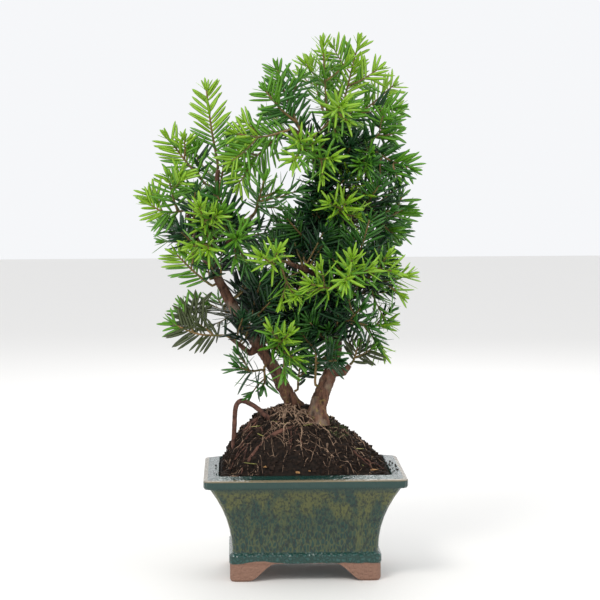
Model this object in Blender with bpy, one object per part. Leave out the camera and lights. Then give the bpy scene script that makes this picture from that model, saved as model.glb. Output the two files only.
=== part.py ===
"""Hybrid yew bonsai with twin stems in a glazed, footed pot.

Lengths are written in millimetres and become metres when a mesh is made. +Z is up, +X runs along
the pot's long side and -Y is the front. While it is modelled the pot stands centred on the origin;
the last step centres the whole plant's box there, with the feet on Z = 0.
"""

import math
import random

import bmesh
import bpy
import numpy as np
from mathutils import Vector

MM = 0.001
UP = Vector((0, 0, 1))
CLEAR = 0.35            # gap between neighbouring pieces

# Pot: outline at the rim, and the heights of its parts above the table
RIM_HALF = (75.0, 60.0)
RIM_TOP = 80.4
RIM_EDGE = 78.2
LIP_WIDTH = 11.6
LIP_FOOT = 71.4
WAIST_INSET = 20.6
WAIST_HEIGHT = 23.0
FLARE = 16.2
WALL = 6.5
FLOOR_TOP = 20.0
CAVITY_TOP = 69.0
LEDGE_TOP = 20.0
LEDGE_INSET = 18.4
FOOT_INSET = 19.0
FOOT_HEIGHT = 13.5
FOOT_LENGTH = 13.0
ARCH_RUN = 21.0
FOOT_WALL = 9.0

# Soil: level at the pot's wall, and the mound over it
SOIL_EDGE = 79.0
MOUND_HEIGHT = 45.0
MOUND_CENTRE = (-7.0, 6.0)
MOUND_POWER = 2.1       # higher is fuller; it varies by the next value from right to left
MOUND_LEAN = 0.5
MOUND_SQUARE = 2.4      # 2 is an oval plan, higher nears the pot's rectangle
CRUMB = 1.1

# Stems: middle line from the soil up, with the radius at each point
STEMS = {
    "stem_left": [
        ((-4, 8, 119), 7.2), ((-6, 7, 125), 5.8), ((-13, 4, 136), 5.3), ((-22, 0, 155), 4.7),
        ((-36, -2, 176), 4.4), ((-48, -2, 194), 4.0), ((-59, 0, 214), 3.6), ((-67, 0, 232), 3.1),
        ((-68, 2, 250), 2.6), ((-65, 4, 280), 2.0), ((-63, 3, 304), 1.6),
    ],
    "stem_right": [
        ((9, -9, 112.5), 8.8), ((9, -9, 119), 6.8), ((14, -6, 135), 5.8), ((20, -4, 150), 5.2),
        ((24, -2, 165), 4.7), ((24, 0, 180), 4.3), ((22, 2, 206), 3.8), ((19, 3, 236), 3.3),
        ((18, 4, 270), 2.8), ((17, 4, 301), 2.3), ((20, 4, 326), 1.8),
    ],
}

# Boughs: the stem each grows from, how far along it, the tip, and the radii at root and tip
BOUGHS = {
    "bough_fork": ("stem_right", 0.20, (35, -6, 157), 3.0, 1.9),
    "bough_right_mid": ("stem_right", 0.43, (38, -14, 222), 2.4, 1.5),
    "bough_right_high": ("stem_right", 0.71, (40, 8, 264), 2.1, 1.4),
    "bough_top_right": ("stem_right", 0.87, (38, 9, 315), 1.9, 1.3),
    "bough_top_left": ("stem_right", 0.91, (-4, -12, 332), 1.7, 1.2),
    "bough_front": ("stem_right", 0.53, (-12, -28, 236), 2.1, 1.4),
    "bough_left_outer": ("stem_left", 0.66, (-86, -8, 271), 2.1, 1.4),
    "bough_left_inner": ("stem_left", 0.70, (-38, -18, 270), 1.9, 1.3),
    "bough_low_left": ("stem_left", 0.30, (-54, -7, 178), 2.2, 1.4),
    "bough_back_high": ("stem_right", 0.80, (20, 40, 338), 2.0, 1.4),
    "bough_back_mid": ("stem_right", 0.56, (28, 42, 258), 2.2, 1.4),
    "bough_back_low": ("stem_right", 0.33, (8, 38, 202), 2.2, 1.4),
    "bough_back_left": ("stem_left", 0.60, (-72, 38, 258), 2.1, 1.4),
}

# Roots that show above the soil: places with their height over it, and the radii at the two ends
ROOTS = {
    "root_arch": (
        [(-53, -9, -4), (-52, -10, 16), (-51, -12, 29), (-48, -12, 30),
         (-43, -12, 24), (-36, -12, 14), (-29, -12, 4), (-23, -11, -4)], 1.7, 1.9),
    "root_front": ([(-8, -22, -1), (-20, -27, 0.5), (-33, -31, 0.5), (-46, -34, -1)], 1.9, 1.1),
    "root_side": ([(-14, -3, -1), (-27, -4, 0.5), (-39, -5, 0.5), (-49, -6, -1)], 2.1, 1.2),
}

# Masses of foliage: the limb each grows from, how far along it, the tips that its twigs reach,
# the side shoots on each twig, how its needles stand and its colour. Needles stand as a comb
# that faces the front, as a fan that lies level, or as a star all round the twig.
MASSES = {
    "mass_top_centre": ("stem_right", 1.0, [(16, -4, 396), (27, -46, 351)], 1, "star", "bright"),
    "mass_top_right": ("stem_right", 0.96, [(43, 13, 397), (71, 34, 367)], 1, "comb", "bright"),
    "mass_top_left": ("bough_top_left", 0.7, [(-18, -6, 378), (-27, -20, 362)], 1, "comb", "dark"),
    "mass_left_reach": (
        "bough_top_left", 1.0, [(-50, -24, 331), (-45, -8, 307)], 1, "comb", "bright"),
    "mass_front_high": (
        "bough_top_left", 0.45, [(-4, -50, 327), (20, -50, 313)], 1, "star", "bright"),
    "mass_right_up": (
        "bough_top_right", 1.0, [(68, 3, 342), (80, -12, 305), (50, -30, 316)], 1, "comb", "mid"),
    "mass_right_high": ("bough_right_high", 1.0, [(78, 3, 274), (70, 24, 250)], 2, "comb", "mid"),
    "mass_front_upright": (
        "stem_right", 0.74, [(31, -38, 280), (40, -22, 296)], 2, "star", "bright"),
    "mass_right_reach": (
        "bough_right_mid", 1.0, [(76, -20, 225), (60, -40, 240)], 1, "star", "bright"),
    "mass_front_right": (
        "bough_right_mid", 0.6, [(34, -60, 240), (4, -56, 222)], 1, "star", "bright"),
    "mass_right_low": ("stem_right", 0.36, [(41, -44, 203), (64, -8, 188)], 2, "star", "dark"),
    "mass_fork": ("bough_fork", 1.0, [(41, -8, 171)], 2, "comb", "olive"),
    "mass_front": ("bough_front", 1.0, [(-31, -60, 242), (-8, -50, 214)], 1, "star", "bright"),
    "mass_front_low": ("stem_left", 0.28, [(-12, -48, 185)], 2, "star", "bright"),
    "mass_inner_left": (
        "bough_left_inner", 1.0, [(-29, -40, 297), (-30, -10, 280)], 1, "star", "mid"),
    "mass_inner_front": ("bough_left_inner", 0.5, [(-49, -50, 256)], 2, "star", "mid"),
    "mass_centre": ("stem_right", 0.13, [(8, -14, 188)], 3, "comb", "dark"),
    "mass_inner_low": ("stem_left", 0.44, [(-24, -12, 206), (-28, 24, 214)], 1, "comb", "dark"),
    "mass_inner_mid": ("stem_right", 0.62, [(-12, -16, 268), (-14, 18, 238)], 1, "comb", "dark"),
    "mass_between": ("stem_left", 0.08, [(-1, 6, 160)], 2, "comb", "dark"),
    "mass_left_leader": ("stem_left", 1.0, [(-71, -1, 363)], 0, "comb", "bright"),
    "mass_left_shoot": ("stem_left", 0.93, [(-99, -4, 327)], 1, "comb", "bright"),
    "mass_left_reach_low": (
        "bough_left_outer", 1.0, [(-114, -13, 279), (-99, -28, 299)], 1, "comb", "bright"),
    "mass_left_front": (
        "stem_left", 0.76, [(-76, -50, 278), (-70, -46, 247)], 1, "star", "bright"),
    "mass_left_small": ("stem_left", 0.58, [(-94, -7, 241)], 1, "comb", "bright"),
    "mass_low_left": ("bough_low_left", 1.0, [(-98, -12, 190), (-89, -4, 201)], 1, "comb", "olive"),
    "mass_hanging": ("stem_left", 0.23, [(-30, -14, 143), (-48, -22, 158)], 1, "star", "dark"),
    "mass_back_top": ("bough_back_high", 1.0, [(10, 54, 384), (44, 58, 352)], 1, "star", "bright"),
    "mass_back_top_left": ("bough_back_high", 0.6, [(-24, 44, 346)], 2, "fan", "mid"),
    "mass_back_upper": ("bough_back_high", 0.4, [(26, 66, 308), (54, 44, 312)], 1, "fan", "mid"),
    "mass_back_right": ("bough_back_mid", 0.7, [(68, 48, 276)], 2, "fan", "mid"),
    "mass_back": ("bough_back_mid", 1.0, [(20, 68, 274), (48, 62, 238)], 1, "star", "bright"),
    "mass_back_centre": ("bough_back_mid", 0.45, [(-14, 48, 262)], 3, "fan", "dark"),
    "mass_back_low": ("bough_back_low", 1.0, [(4, 62, 224), (36, 52, 198)], 1, "star", "mid"),
    "mass_back_low_left": ("bough_back_low", 0.55, [(-26, 46, 200)], 2, "fan", "dark"),
    "mass_back_left": (
        "bough_back_left", 1.0, [(-80, 62, 282), (-48, 62, 262)], 1, "star", "bright"),
    "mass_back_left_out": ("bough_back_left", 0.6, [(-104, 36, 264)], 2, "fan", "mid"),
    "mass_back_leader": ("stem_left", 0.85, [(-56, 40, 324)], 2, "fan", "mid"),
    "mass_back_left_low": ("stem_left", 0.42, [(-64, 38, 204)], 2, "fan", "olive"),
}

# Twigs and needles of the growing rule
TWIG_ROOT = 1.05
TWIG_TIP = 0.7
SIDE_ROOT = 0.85
SIDE_TIP = 0.6
FORK_AT = 0.3
SIDE_ANGLE = 52.0
SIDE_SHARE = 0.55
SHORTEST_SIDE = 14.0
TWIG_SPACING = 5.0
NEEDLE_LENGTH = 21.0
NEEDLE_STEP = 5.5
NEEDLE_LEAN = (68.0, 42.0)
STAR_TWIST = 34.0
LIMB_CLEARANCE = 2.2
SPACE_MARGIN = 1.2
LOWEST_NEEDLE = 127.0
LOWEST_SIDE = 128.0

BASE_COLOURS = {
    "glaze": ((0.07, 0.13, 0.11), 0.25),
    "soil": ((0.022, 0.015, 0.011), 0.95),
    "bark": ((0.17, 0.095, 0.062), 0.85),
    "root": ((0.16, 0.075, 0.05), 0.8),
    "bright": ((0.13, 0.34, 0.035), 0.4),
    "mid": ((0.05, 0.19, 0.03), 0.4),
    "dark": ((0.022, 0.075, 0.028), 0.4),
    "olive": ((0.075, 0.11, 0.035), 0.45),
}


def clear_scene():
    for obj in list(bpy.data.objects):
        bpy.data.objects.remove(obj, do_unlink=True)


def finish(name):
    """The material of one finish, made once."""
    if name in bpy.data.materials:
        return bpy.data.materials[name]
    colour, roughness = BASE_COLOURS[name]
    material = bpy.data.materials.new(name)
    material.use_nodes = True
    shader = material.node_tree.nodes["Principled BSDF"]
    shader.inputs["Base Color"].default_value = (*colour, 1.0)
    shader.inputs["Roughness"].default_value = roughness
    shader.inputs["Metallic"].default_value = 0.0
    material.diffuse_color = (*colour, 1.0)
    return material


def solid(name, points, faces, finish_name=None):
    """An object from points in millimetres and faces that wind outwards."""
    mesh = bpy.data.meshes.new(name)
    mesh.from_pydata([(x * MM, y * MM, z * MM) for x, y, z in points], [], faces)
    bm = bmesh.new()
    bm.from_mesh(mesh)
    bmesh.ops.triangulate(bm, faces=bm.faces[:])
    bm.to_mesh(mesh)
    bm.free()
    obj = bpy.data.objects.new(name, mesh)
    bpy.context.scene.collection.objects.link(obj)
    if finish_name:
        mesh.materials.append(finish(finish_name))
    return obj


def loft(rings):
    """Points and faces of a closed body through rings of equal count, wound anticlockwise."""
    count = len(rings[0])
    points = [point for ring in rings for point in ring]
    faces = [tuple(reversed(range(count)))]
    for level in range(len(rings) - 1):
        lower = level * count
        upper = lower + count
        for i in range(count):
            j = (i + 1) % count
            faces.append((lower + i, lower + j, upper + j, upper + i))
    last = (len(rings) - 1) * count
    faces.append(tuple(range(last, last + count)))
    return points, faces


def rounded_rectangle(half_x, half_y, radius, height, steps=3, along=1):
    """Ring of points at one height, anticlockwise seen from above, its sides in even parts."""
    corners = []
    for corner, (sx, sy) in enumerate(((1, 1), (-1, 1), (-1, -1), (1, -1))):
        arc = []
        for step in range(steps + 1):
            angle = math.radians(90 * (corner + step / steps))
            arc.append(Vector((sx * (half_x - radius) + radius * math.cos(angle),
                               sy * (half_y - radius) + radius * math.sin(angle), height)))
        corners.append(arc)
    ring = []
    for corner, arc in enumerate(corners):
        following = corners[(corner + 1) % 4][0]
        ring += arc + [arc[-1].lerp(following, k / along) for k in range(1, along)]
    return [tuple(point) for point in ring]


def pot_ring(height, inset, radius, steps=3, along=1):
    half_x, half_y = (half - inset for half in RIM_HALF)
    return rounded_rectangle(half_x, half_y, radius, height, steps, along)


def is_closed(mesh):
    """Whether every edge of a mesh has exactly two faces."""
    bm = bmesh.new()
    bm.from_mesh(mesh)
    closed = all(len(edge.link_faces) == 2 for edge in bm.edges)
    bm.free()
    return closed


def boolean(obj, operation, operands):
    """One Boolean on a collection of operands, applied, with the operands then removed."""
    group = bpy.data.collections.new(obj.name + "_operands")
    bpy.context.scene.collection.children.link(group)
    for operand in operands:
        group.objects.link(operand)
        bpy.context.scene.collection.objects.unlink(operand)
    modifier = obj.modifiers.new(operation.lower(), "BOOLEAN")
    modifier.operation = operation
    modifier.operand_type = "COLLECTION"
    modifier.collection = group
    for solver in ("EXACT", "MANIFOLD"):
        modifier.solver = solver
        bpy.context.view_layer.update()
        depsgraph = bpy.context.evaluated_depsgraph_get()
        mesh = bpy.data.meshes.new_from_object(obj.evaluated_get(depsgraph))
        if is_closed(mesh):
            break
    obj.modifiers.clear()
    obj.data = mesh
    for operand in operands:
        bpy.data.objects.remove(operand, do_unlink=True)
    bpy.data.collections.remove(group)


def keep_main_body(obj):
    """Drop loose scraps and the walls of sealed hollows, so that one body is left."""
    bm = bmesh.new()
    bm.from_mesh(obj.data)
    unseen = set(bm.faces)
    bodies = []
    while unseen:
        body = []
        queue = [unseen.pop()]
        while queue:
            face = queue.pop()
            body.append(face)
            for edge in face.edges:
                for other in edge.link_faces:
                    if other in unseen:
                        unseen.remove(other)
                        queue.append(other)
        bodies.append(body)
    bodies.sort(key=lambda body: sum(face.calc_area() for face in body))
    for body in bodies[:-1]:
        bmesh.ops.delete(bm, geom=body, context="FACES")
    loose = [vertex for vertex in bm.verts if not vertex.link_faces]
    bmesh.ops.delete(bm, geom=loose, context="VERTS")
    bm.to_mesh(obj.data)
    bm.free()


def pot_profile():
    """Height, inset and corner radius, up the outside, over the lip and down the inside."""
    profile = [(0.0, FOOT_INSET + 1.2, 4.0), (1.5, FOOT_INSET, 5.0),
               (FOOT_HEIGHT - 0.8, FOOT_INSET, 5.0), (FOOT_HEIGHT + 0.7, LEDGE_INSET, 5.0),
               (LEDGE_TOP - 1.0, LEDGE_INSET, 5.0), (LEDGE_TOP + 0.4, LEDGE_INSET + 1.2, 5.0),
               (LEDGE_TOP + 1.2, WAIST_INSET, 5.0)]
    steps = 6
    for step in range(steps + 1):
        share = step / steps
        height = WAIST_HEIGHT + share * (LIP_FOOT - WAIST_HEIGHT)
        profile.append((height, WAIST_INSET - FLARE * share ** 2, 5.0))
    profile += [(LIP_FOOT + 0.8, 0.7, 5.5), (LIP_FOOT + 2.0, 0.0, 6.0), (RIM_EDGE - 0.6, 0.0, 6.0),
                (RIM_EDGE, 0.8, 5.4), (RIM_TOP, LIP_WIDTH - 0.6, 3.0),
                (RIM_TOP - 0.6, LIP_WIDTH, 3.0)]
    profile += cavity_profile()
    return profile


def cavity_profile():
    """The inside of the pot from under the lip down to its floor."""
    steps = 3
    profile = []
    for step in range(steps + 1):
        height = CAVITY_TOP - (CAVITY_TOP - FLOOR_TOP) * step / steps
        share = max(0.0, (height - WAIST_HEIGHT) / (LIP_FOOT - WAIST_HEIGHT))
        outside = WAIST_INSET - FLARE * share ** 2
        profile.append((height, max(LIP_WIDTH + 0.2, outside + WALL), 3.0))
    return profile


def arch(half_length, half_run):
    """Outline of the opening between two feet: S-curves up to a flat top, as (along, height)."""
    foot = half_length - FOOT_LENGTH
    steps = 6
    rising = []
    for step in range(steps + 1):
        share = step / steps
        rising.append((foot - half_run * share, FOOT_HEIGHT * share * share * (3 - 2 * share)))
    right = [(foot, -2.0)] + rising
    left = [(-along, height) for along, height in reversed(right)]
    return right + left


def make_pot():
    rings = [pot_ring(height, inset, radius) for height, inset, radius in pot_profile()]
    pot = solid("pot", *loft(rings), "glaze")
    half_x = RIM_HALF[0] - FOOT_INSET
    half_y = RIM_HALF[1] - FOOT_INSET
    reach = 90.0
    front = arch(half_x, ARCH_RUN)
    along_y = loft([[(x, y, z) for x, z in front] for y in (reach, -reach)])
    side = arch(half_y, ARCH_RUN * 0.9)
    along_x = loft([[(x, y, z) for y, z in side] for x in (-reach, reach)])
    pocket = loft([rounded_rectangle(half_x - FOOT_WALL, half_y - FOOT_WALL, 2.0, height, 1)
                   for height in (-2.0, FOOT_HEIGHT + 0.5)])
    cutters = [solid("cut_front", *along_y), solid("cut_side", *along_x),
               solid("cut_pocket", *pocket)]
    boolean(pot, "DIFFERENCE", cutters)
    return pot


def mound(x, y):
    """Height of the soil over one place."""
    reach_x = RIM_HALF[0] - LIP_WIDTH
    reach_y = RIM_HALF[1] - LIP_WIDTH
    cx, cy = MOUND_CENTRE
    across = abs(x - cx) / (reach_x - math.copysign(1, x - cx) * cx)
    deep = abs(y - cy) / (reach_y - math.copysign(1, y - cy) * cy)
    out = min(1.0, (across ** MOUND_SQUARE + deep ** MOUND_SQUARE) ** (1 / MOUND_SQUARE))
    power = MOUND_POWER - MOUND_LEAN * math.tanh((x - cx) / 20.0)
    return SOIL_EDGE + MOUND_HEIGHT * (1 - out ** power)


def make_soil(holes):
    rng = random.Random(7)
    rings = []
    for height, inset, radius in reversed(cavity_profile()):
        rings.append(pot_ring(max(height, FLOOR_TOP + CLEAR), inset + CLEAR, radius, 2, 5))
    rings.append(pot_ring(SOIL_EDGE - 1.0, LIP_WIDTH + CLEAR, 3.0, 2, 5))
    edge = pot_ring(SOIL_EDGE + 0.5, LIP_WIDTH + 0.8 + CLEAR, 3.0, 2, 5)
    rings.append(edge)
    steps = 7
    for step in range(1, steps):
        share = 1 - step / steps
        ring = []
        for x, y, _ in edge:
            px = MOUND_CENTRE[0] + (x - MOUND_CENTRE[0]) * share
            py = MOUND_CENTRE[1] + (y - MOUND_CENTRE[1]) * share
            ring.append((px, py, mound(px, py) + rng.uniform(-CRUMB, CRUMB)))
        rings.append(ring)
    soil = solid("soil", *loft(rings), "soil")
    boolean(soil, "DIFFERENCE", holes)
    keep_main_body(soil)
    return soil


def smooth_path(points, steps):
    """Evenly spaced points on a smooth curve through the given ones."""
    points = [Vector(point) for point in points]
    ends = [2 * points[0] - points[1]] + points + [2 * points[-1] - points[-2]]
    fine = []
    for i in range(1, len(ends) - 2):
        p0, p1, p2, p3 = ends[i - 1:i + 3]
        for k in range(12):
            t = k / 12
            fine.append(0.5 * (2 * p1 + (p2 - p0) * t + (2 * p0 - 5 * p1 + 4 * p2 - p3) * t ** 2
                               + (3 * p1 - p0 - 3 * p2 + p3) * t ** 3))
    fine.append(points[-1])
    lengths = [0.0]
    for a, b in zip(fine, fine[1:]):
        lengths.append(lengths[-1] + (b - a).length)
    even = []
    for step in range(steps + 1):
        want = lengths[-1] * step / steps
        i = max(k for k, length in enumerate(lengths) if length <= want + 1e-9)
        if i == len(fine) - 1:
            even.append(fine[-1])
            continue
        span = lengths[i + 1] - lengths[i]
        even.append(fine[i].lerp(fine[i + 1], (want - lengths[i]) / span))
    return even


class Limb:
    """A tapering limb: its middle line, and its radius at any share of its length."""

    def __init__(self, path, radii):
        self.path = path
        self.radii = radii

    def at(self, share):
        place = share * (len(self.path) - 1)
        i = min(int(place), len(self.path) - 2)
        point = self.path[i].lerp(self.path[i + 1], place - i)
        tangent = (self.path[i + 1] - self.path[i]).normalized()
        radius = self.radii[i] + (self.radii[i + 1] - self.radii[i]) * (place - i)
        return point, tangent, radius


def tube(path, radii, sides, facing=None):
    """A tapering tube along a path, without twist; its first end may be cut square to facing."""
    rings = []
    tangent = facing or (path[1] - path[0]).normalized()
    across = tangent.orthogonal().normalized()
    for i, point in enumerate(path):
        if i:
            ahead = path[min(i + 1, len(path) - 1)]
            turned = (ahead - path[i - 1]).normalized()
            across = tangent.rotation_difference(turned) @ across
            tangent = turned
        up = tangent.cross(across).normalized()
        ring = []
        for side in range(sides):
            angle = 2 * math.pi * side / sides
            offset = across * math.cos(angle) + up * math.sin(angle)
            ring.append(tuple(point + offset * radii[i]))
        rings.append(ring)
    return loft(rings)


def tapered(path, root, tip):
    return [root + (tip - root) * i / (len(path) - 1) for i in range(len(path))]


def make_stems(limbs):
    for name, rows in STEMS.items():
        steps = 15
        path = smooth_path([place for place, _ in rows], steps)
        heights = [place[2] for place, _ in rows]
        radii = [float(np.interp(point.z, heights, [radius for _, radius in rows]))
                 for point in path]
        path[0] = Vector(rows[0][0])
        limbs[name] = Limb(path, radii)
        solid(name, *tube(path, radii, 9, UP), "bark")


def leave_limb(limb, share, target):
    """Where a side limb starts, clear of the limb's skin, and the way it sets out."""
    point, tangent, radius = limb.at(share)
    if share >= 1.0:
        return point + tangent * CLEAR, tangent
    aim = Vector(target) - point
    outward = (aim - tangent * aim.dot(tangent)).normalized()
    return point + outward * (radius + CLEAR), outward


def make_boughs(limbs):
    for name, (parent, share, tip, root_radius, tip_radius) in BOUGHS.items():
        start, outward = leave_limb(limbs[parent], share, tip)
        tip = Vector(tip)
        middle = start.lerp(tip, 0.5) + outward * 2.0
        path = smooth_path([start, start + outward * 4.0, middle, tip], 5)
        radii = tapered(path, root_radius, tip_radius)
        limbs[name] = Limb(path, radii)
        solid(name, *tube(path, radii, 6, outward), "bark")


def bed(name, path, radii, sides, facing=None):
    """A fatter and slightly longer copy of a limb's foot that cuts its bed in the soil."""
    back = (facing or (path[1] - path[0]).normalized()) * CLEAR
    ahead = (path[-1] - path[-2]).normalized() * CLEAR
    path = [path[0] - back] + path + [path[-1] + ahead]
    radii = [radii[0]] + radii + [radii[-1]]
    return solid(name + "_bed", *tube(path, [radius + 2 * CLEAR for radius in radii], sides, facing))


def make_roots():
    """The bare roots, with the beds that they lie in."""
    beds = []
    for name, (places, root_radius, tip_radius) in ROOTS.items():
        path = smooth_path([(x, y, mound(x, y) + over) for x, y, over in places], 9)
        radii = tapered(path, root_radius, tip_radius)
        solid(name, *tube(path, radii, 6), "root")
        beds.append(bed(name, path, radii, 6))
    return beds


def stem_beds(limbs):
    """Beds that give each stem a level seat in the soil, clear of its flare."""
    return [bed(name, limbs[name].path[:4], limbs[name].radii[:4], 9, UP) for name in STEMS]


class Shoot:
    """One leafy twig: its middle line, its radii, how its needles stand, and where they begin."""

    def __init__(self, path, root_radius, tip_radius, habit, leafy_from):
        self.limb = Limb(path, tapered(path, root_radius, tip_radius))
        self.path = path
        self.habit = habit
        self.leafy_from = leafy_from
        self.length = sum((b - a).length for a, b in zip(path, path[1:]))


def bent_path(start, outward, tip, lift, steps):
    middle = start.lerp(tip, 0.55) + Vector((0, 0, lift))
    return smooth_path([start, start + outward * 3.0, middle, tip], steps)


def sideways(tangent, habit):
    """The way that the first rank of needles points, square to the twig."""
    facing = Vector((0, 0, 1)) if habit == "fan" else Vector((0, 1, 0))
    across = tangent.cross(facing)
    if across.length < 0.3:
        across = tangent.cross(Vector((1, 0, 0)))
    return across.normalized()


def grow_twigs(name, limbs):
    """The twigs of one mass by the seeded rule: one stem, its forks and their side shoots."""
    limb_name, share, tips, sides, habit, _ = MASSES[name]
    rng = random.Random(name)
    start, outward = leave_limb(limbs[limb_name], share, tips[0])
    main = Shoot(bent_path(start, outward, Vector(tips[0]), -3.0, 10), TWIG_ROOT, TWIG_TIP,
                 habit, 0.27)
    shoots = [main]
    for tip in tips[1:]:
        root, tangent, _ = main.limb.at(FORK_AT)
        path = bent_path(root, (Vector(tip) - root).normalized(), Vector(tip), -2.0, 8)
        shoots.append(Shoot(path, TWIG_ROOT * 0.9, TWIG_TIP, habit, 0.25))
    for twig in list(shoots):
        for k in range(sides):
            share = 0.36 + 0.5 * (k + 0.5) / sides + rng.uniform(-0.05, 0.05)
            point, tangent, _ = twig.limb.at(share)
            across = sideways(tangent, habit)
            roll = math.radians(rng.uniform(-40, 40))
            away = across * math.cos(roll) + tangent.cross(across) * math.sin(roll)
            angle = math.radians(SIDE_ANGLE + rng.uniform(-8, 8))
            turn = 1 if k % 2 else -1
            way = tangent * math.cos(angle) + away * (turn * math.sin(angle))
            reach = max(SHORTEST_SIDE, twig.length * SIDE_SHARE * (1.15 - share))
            path = smooth_path([point, point + way * reach * 0.5,
                                point + way * reach + tangent * reach * 0.12], 5)
            shoots.append(Shoot(path, SIDE_ROOT, SIDE_TIP, habit, 0.25))
    return shoots


def segments(paths):
    """Start and end points of all the steps of some paths, as two arrays."""
    starts = [point for path in paths for point in path[:-1]]
    ends = [point for path in paths for point in path[1:]]
    return np.array([tuple(p) for p in starts]), np.array([tuple(p) for p in ends])


def distance(points, lines):
    """Least distance from each point to any of the lines."""
    starts, ends = lines
    along = ends - starts
    to_point = points[:, None, :] - starts[None, :, :]
    share = np.einsum("pij,ij->pi", to_point, along) / np.einsum("ij,ij->i", along, along)
    share = np.clip(share, 0.0, 1.0)
    nearest = starts[None, :, :] + share[:, :, None] * along[None, :, :]
    return np.linalg.norm(points[:, None, :] - nearest, axis=2).min(axis=1)


def samples(path, count):
    limb = Limb(path, [0.0] * len(path))
    return np.array([tuple(limb.at(k / (count - 1))[0]) for k in range(count)])


def choose_twigs(limbs):
    """Grow every mass and keep only the side shoots that stay clear of limbs and neighbours."""
    grown = {name: grow_twigs(name, limbs) for name in MASSES}
    limb_lines = segments([limb.path for limb in limbs.values()])
    mains = {}
    for name, shoots in grown.items():
        mains[name] = [shoot.path for shoot in shoots[:len(MASSES[name][2])]]
    kept = {name: shoots[:len(mains[name])] for name, shoots in grown.items()}
    for name, shoots in grown.items():
        for shoot in shoots[len(mains[name]):]:
            others = [twig.path for other, twigs in kept.items() if other != name
                      for twig in twigs]
            points = samples(shoot.path, 6)[1:]
            far = distance(points, segments(others)).min() > TWIG_SPACING
            clear = distance(points, limb_lines).min() > TWIG_SPACING
            if far and clear and points[:, 2].min() > LOWEST_SIDE:
                kept[name].append(shoot)
    return kept


def leafy_twig(shoot, rng, fits):
    """A three-sided twig whose needles are drawn out of its skin, as one closed body."""
    steps = max(2, round(shoot.length * (1 - shoot.leafy_from) / NEEDLE_STEP))
    shares = [0.0, shoot.leafy_from]
    shares += [shoot.leafy_from + (1 - shoot.leafy_from) * k / steps for k in range(1, steps + 1)]
    points = []
    frames = []
    before = (shoot.path[-1] - shoot.path[0]).normalized()
    across = sideways(before, shoot.habit)
    for k, share in enumerate(shares):
        point, tangent, radius = shoot.limb.at(share)
        across = before.rotation_difference(tangent) @ across
        before = tangent
        up = tangent.cross(across)
        twist = math.radians(STAR_TWIST * k) if shoot.habit == "star" else 0.0
        frames.append((tangent, across, up, twist, share))
        for side in range(3):
            angle = twist + math.radians(120 * side - 30)
            points.append(tuple(point + (across * math.cos(angle) + up * math.sin(angle)) * radius))
    faces = [(2, 1, 0)]

    def draw_out(face, way, length):
        foot = sum((Vector(points[i]) for i in face), Vector()) / 3
        for trial in (1.0, 0.75):
            if fits(foot, way, length * trial):
                points.append(tuple(foot + way * length * trial))
                tip = len(points) - 1
                faces.extend([(face[0], face[1], tip), (face[1], face[2], tip),
                              (face[2], face[0], tip)])
                return
        faces.append(face)

    for k in range(len(shares) - 1):
        tangent, across, up, twist, share = frames[k]
        lean_root, lean_tip = NEEDLE_LEAN
        for side in range(3):
            a, b = 3 * k + side, 3 * k + (side + 1) % 3
            pair = [(a, b, b + 3), (a, b + 3, a + 3)]
            bare = k == 0 or (side == 2 if shoot.habit != "star" else (k + side) % 3 == 0)
            if bare:
                faces.extend(pair)
                continue
            lean = math.radians(lean_root + (lean_tip - lean_root) * share + rng.uniform(-3, 3))
            around = twist + math.radians(120 * side + 30 + rng.uniform(-8, 8))
            if shoot.habit != "star":
                around -= math.radians(14 if side == 0 else -14)
            out = across * math.cos(around) + up * math.sin(around)
            way = tangent * math.cos(lean) + out * math.sin(lean)
            length = NEEDLE_LENGTH * (1.0 - 0.3 * share ** 3) * rng.uniform(0.92, 1.04)
            pulled = (k + side) % 2
            draw_out(pair[pulled], way, length)
            faces.append(pair[1 - pulled])
    last = 3 * (len(shares) - 1)
    draw_out((last, last + 1, last + 2), frames[-1][0], NEEDLE_LENGTH * 0.6)
    return points, faces


def make_fits(own_line, sibling_lines, limb_lines, other_lines):
    """The test that a needle keeps to its mass's space and clear of limbs and nearby twigs."""
    def fits(foot, way, length):
        places = [foot + way * length * share for share in (0.3, 0.45, 0.6, 0.75, 0.88, 1.0)]
        points = np.array([tuple(place) for place in places])
        if points[:, 2].min() < LOWEST_NEEDLE:
            return False
        if distance(points, limb_lines).min() < LIMB_CLEARANCE:
            return False
        own = distance(points, own_line)
        if sibling_lines is not None and (distance(points, sibling_lines) < own * 0.6).any():
            return False
        return bool((distance(points, other_lines) > own + SPACE_MARGIN).all())
    return fits


def make_masses(limbs):
    kept = choose_twigs(limbs)
    limb_lines = segments([limb.path for limb in limbs.values()])
    for name, shoots in kept.items():
        rng = random.Random(name + " needles")
        other_lines = segments([shoot.path for other in kept if other != name
                                for shoot in kept[other]])
        bodies = []
        for shoot in shoots:
            siblings = [other.path for other in shoots if other is not shoot]
            fits = make_fits(segments([shoot.path]), segments(siblings) if siblings else None,
                             limb_lines, other_lines)
            bodies.append(leafy_twig(shoot, rng, fits))
        mass = solid(name, *bodies[0], MASSES[name][5])
        if len(bodies) > 1:
            operands = [solid(f"{name}_{k}", *body) for k, body in enumerate(bodies[1:])]
            boolean(mass, "UNION", operands)
            keep_main_body(mass)


def centre_model():
    """Move every object so that the whole plant's box stands centred on the origin."""
    bpy.context.view_layer.update()
    corners = [obj.matrix_world @ Vector(corner) for obj in bpy.data.objects
               for corner in obj.bound_box]
    low = [min(corner[axis] for corner in corners) for axis in range(3)]
    high = [max(corner[axis] for corner in corners) for axis in range(3)]
    shift = Vector((-(low[0] + high[0]) / 2, -(low[1] + high[1]) / 2, -low[2]))
    for obj in bpy.data.objects:
        obj.location += shift


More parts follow.
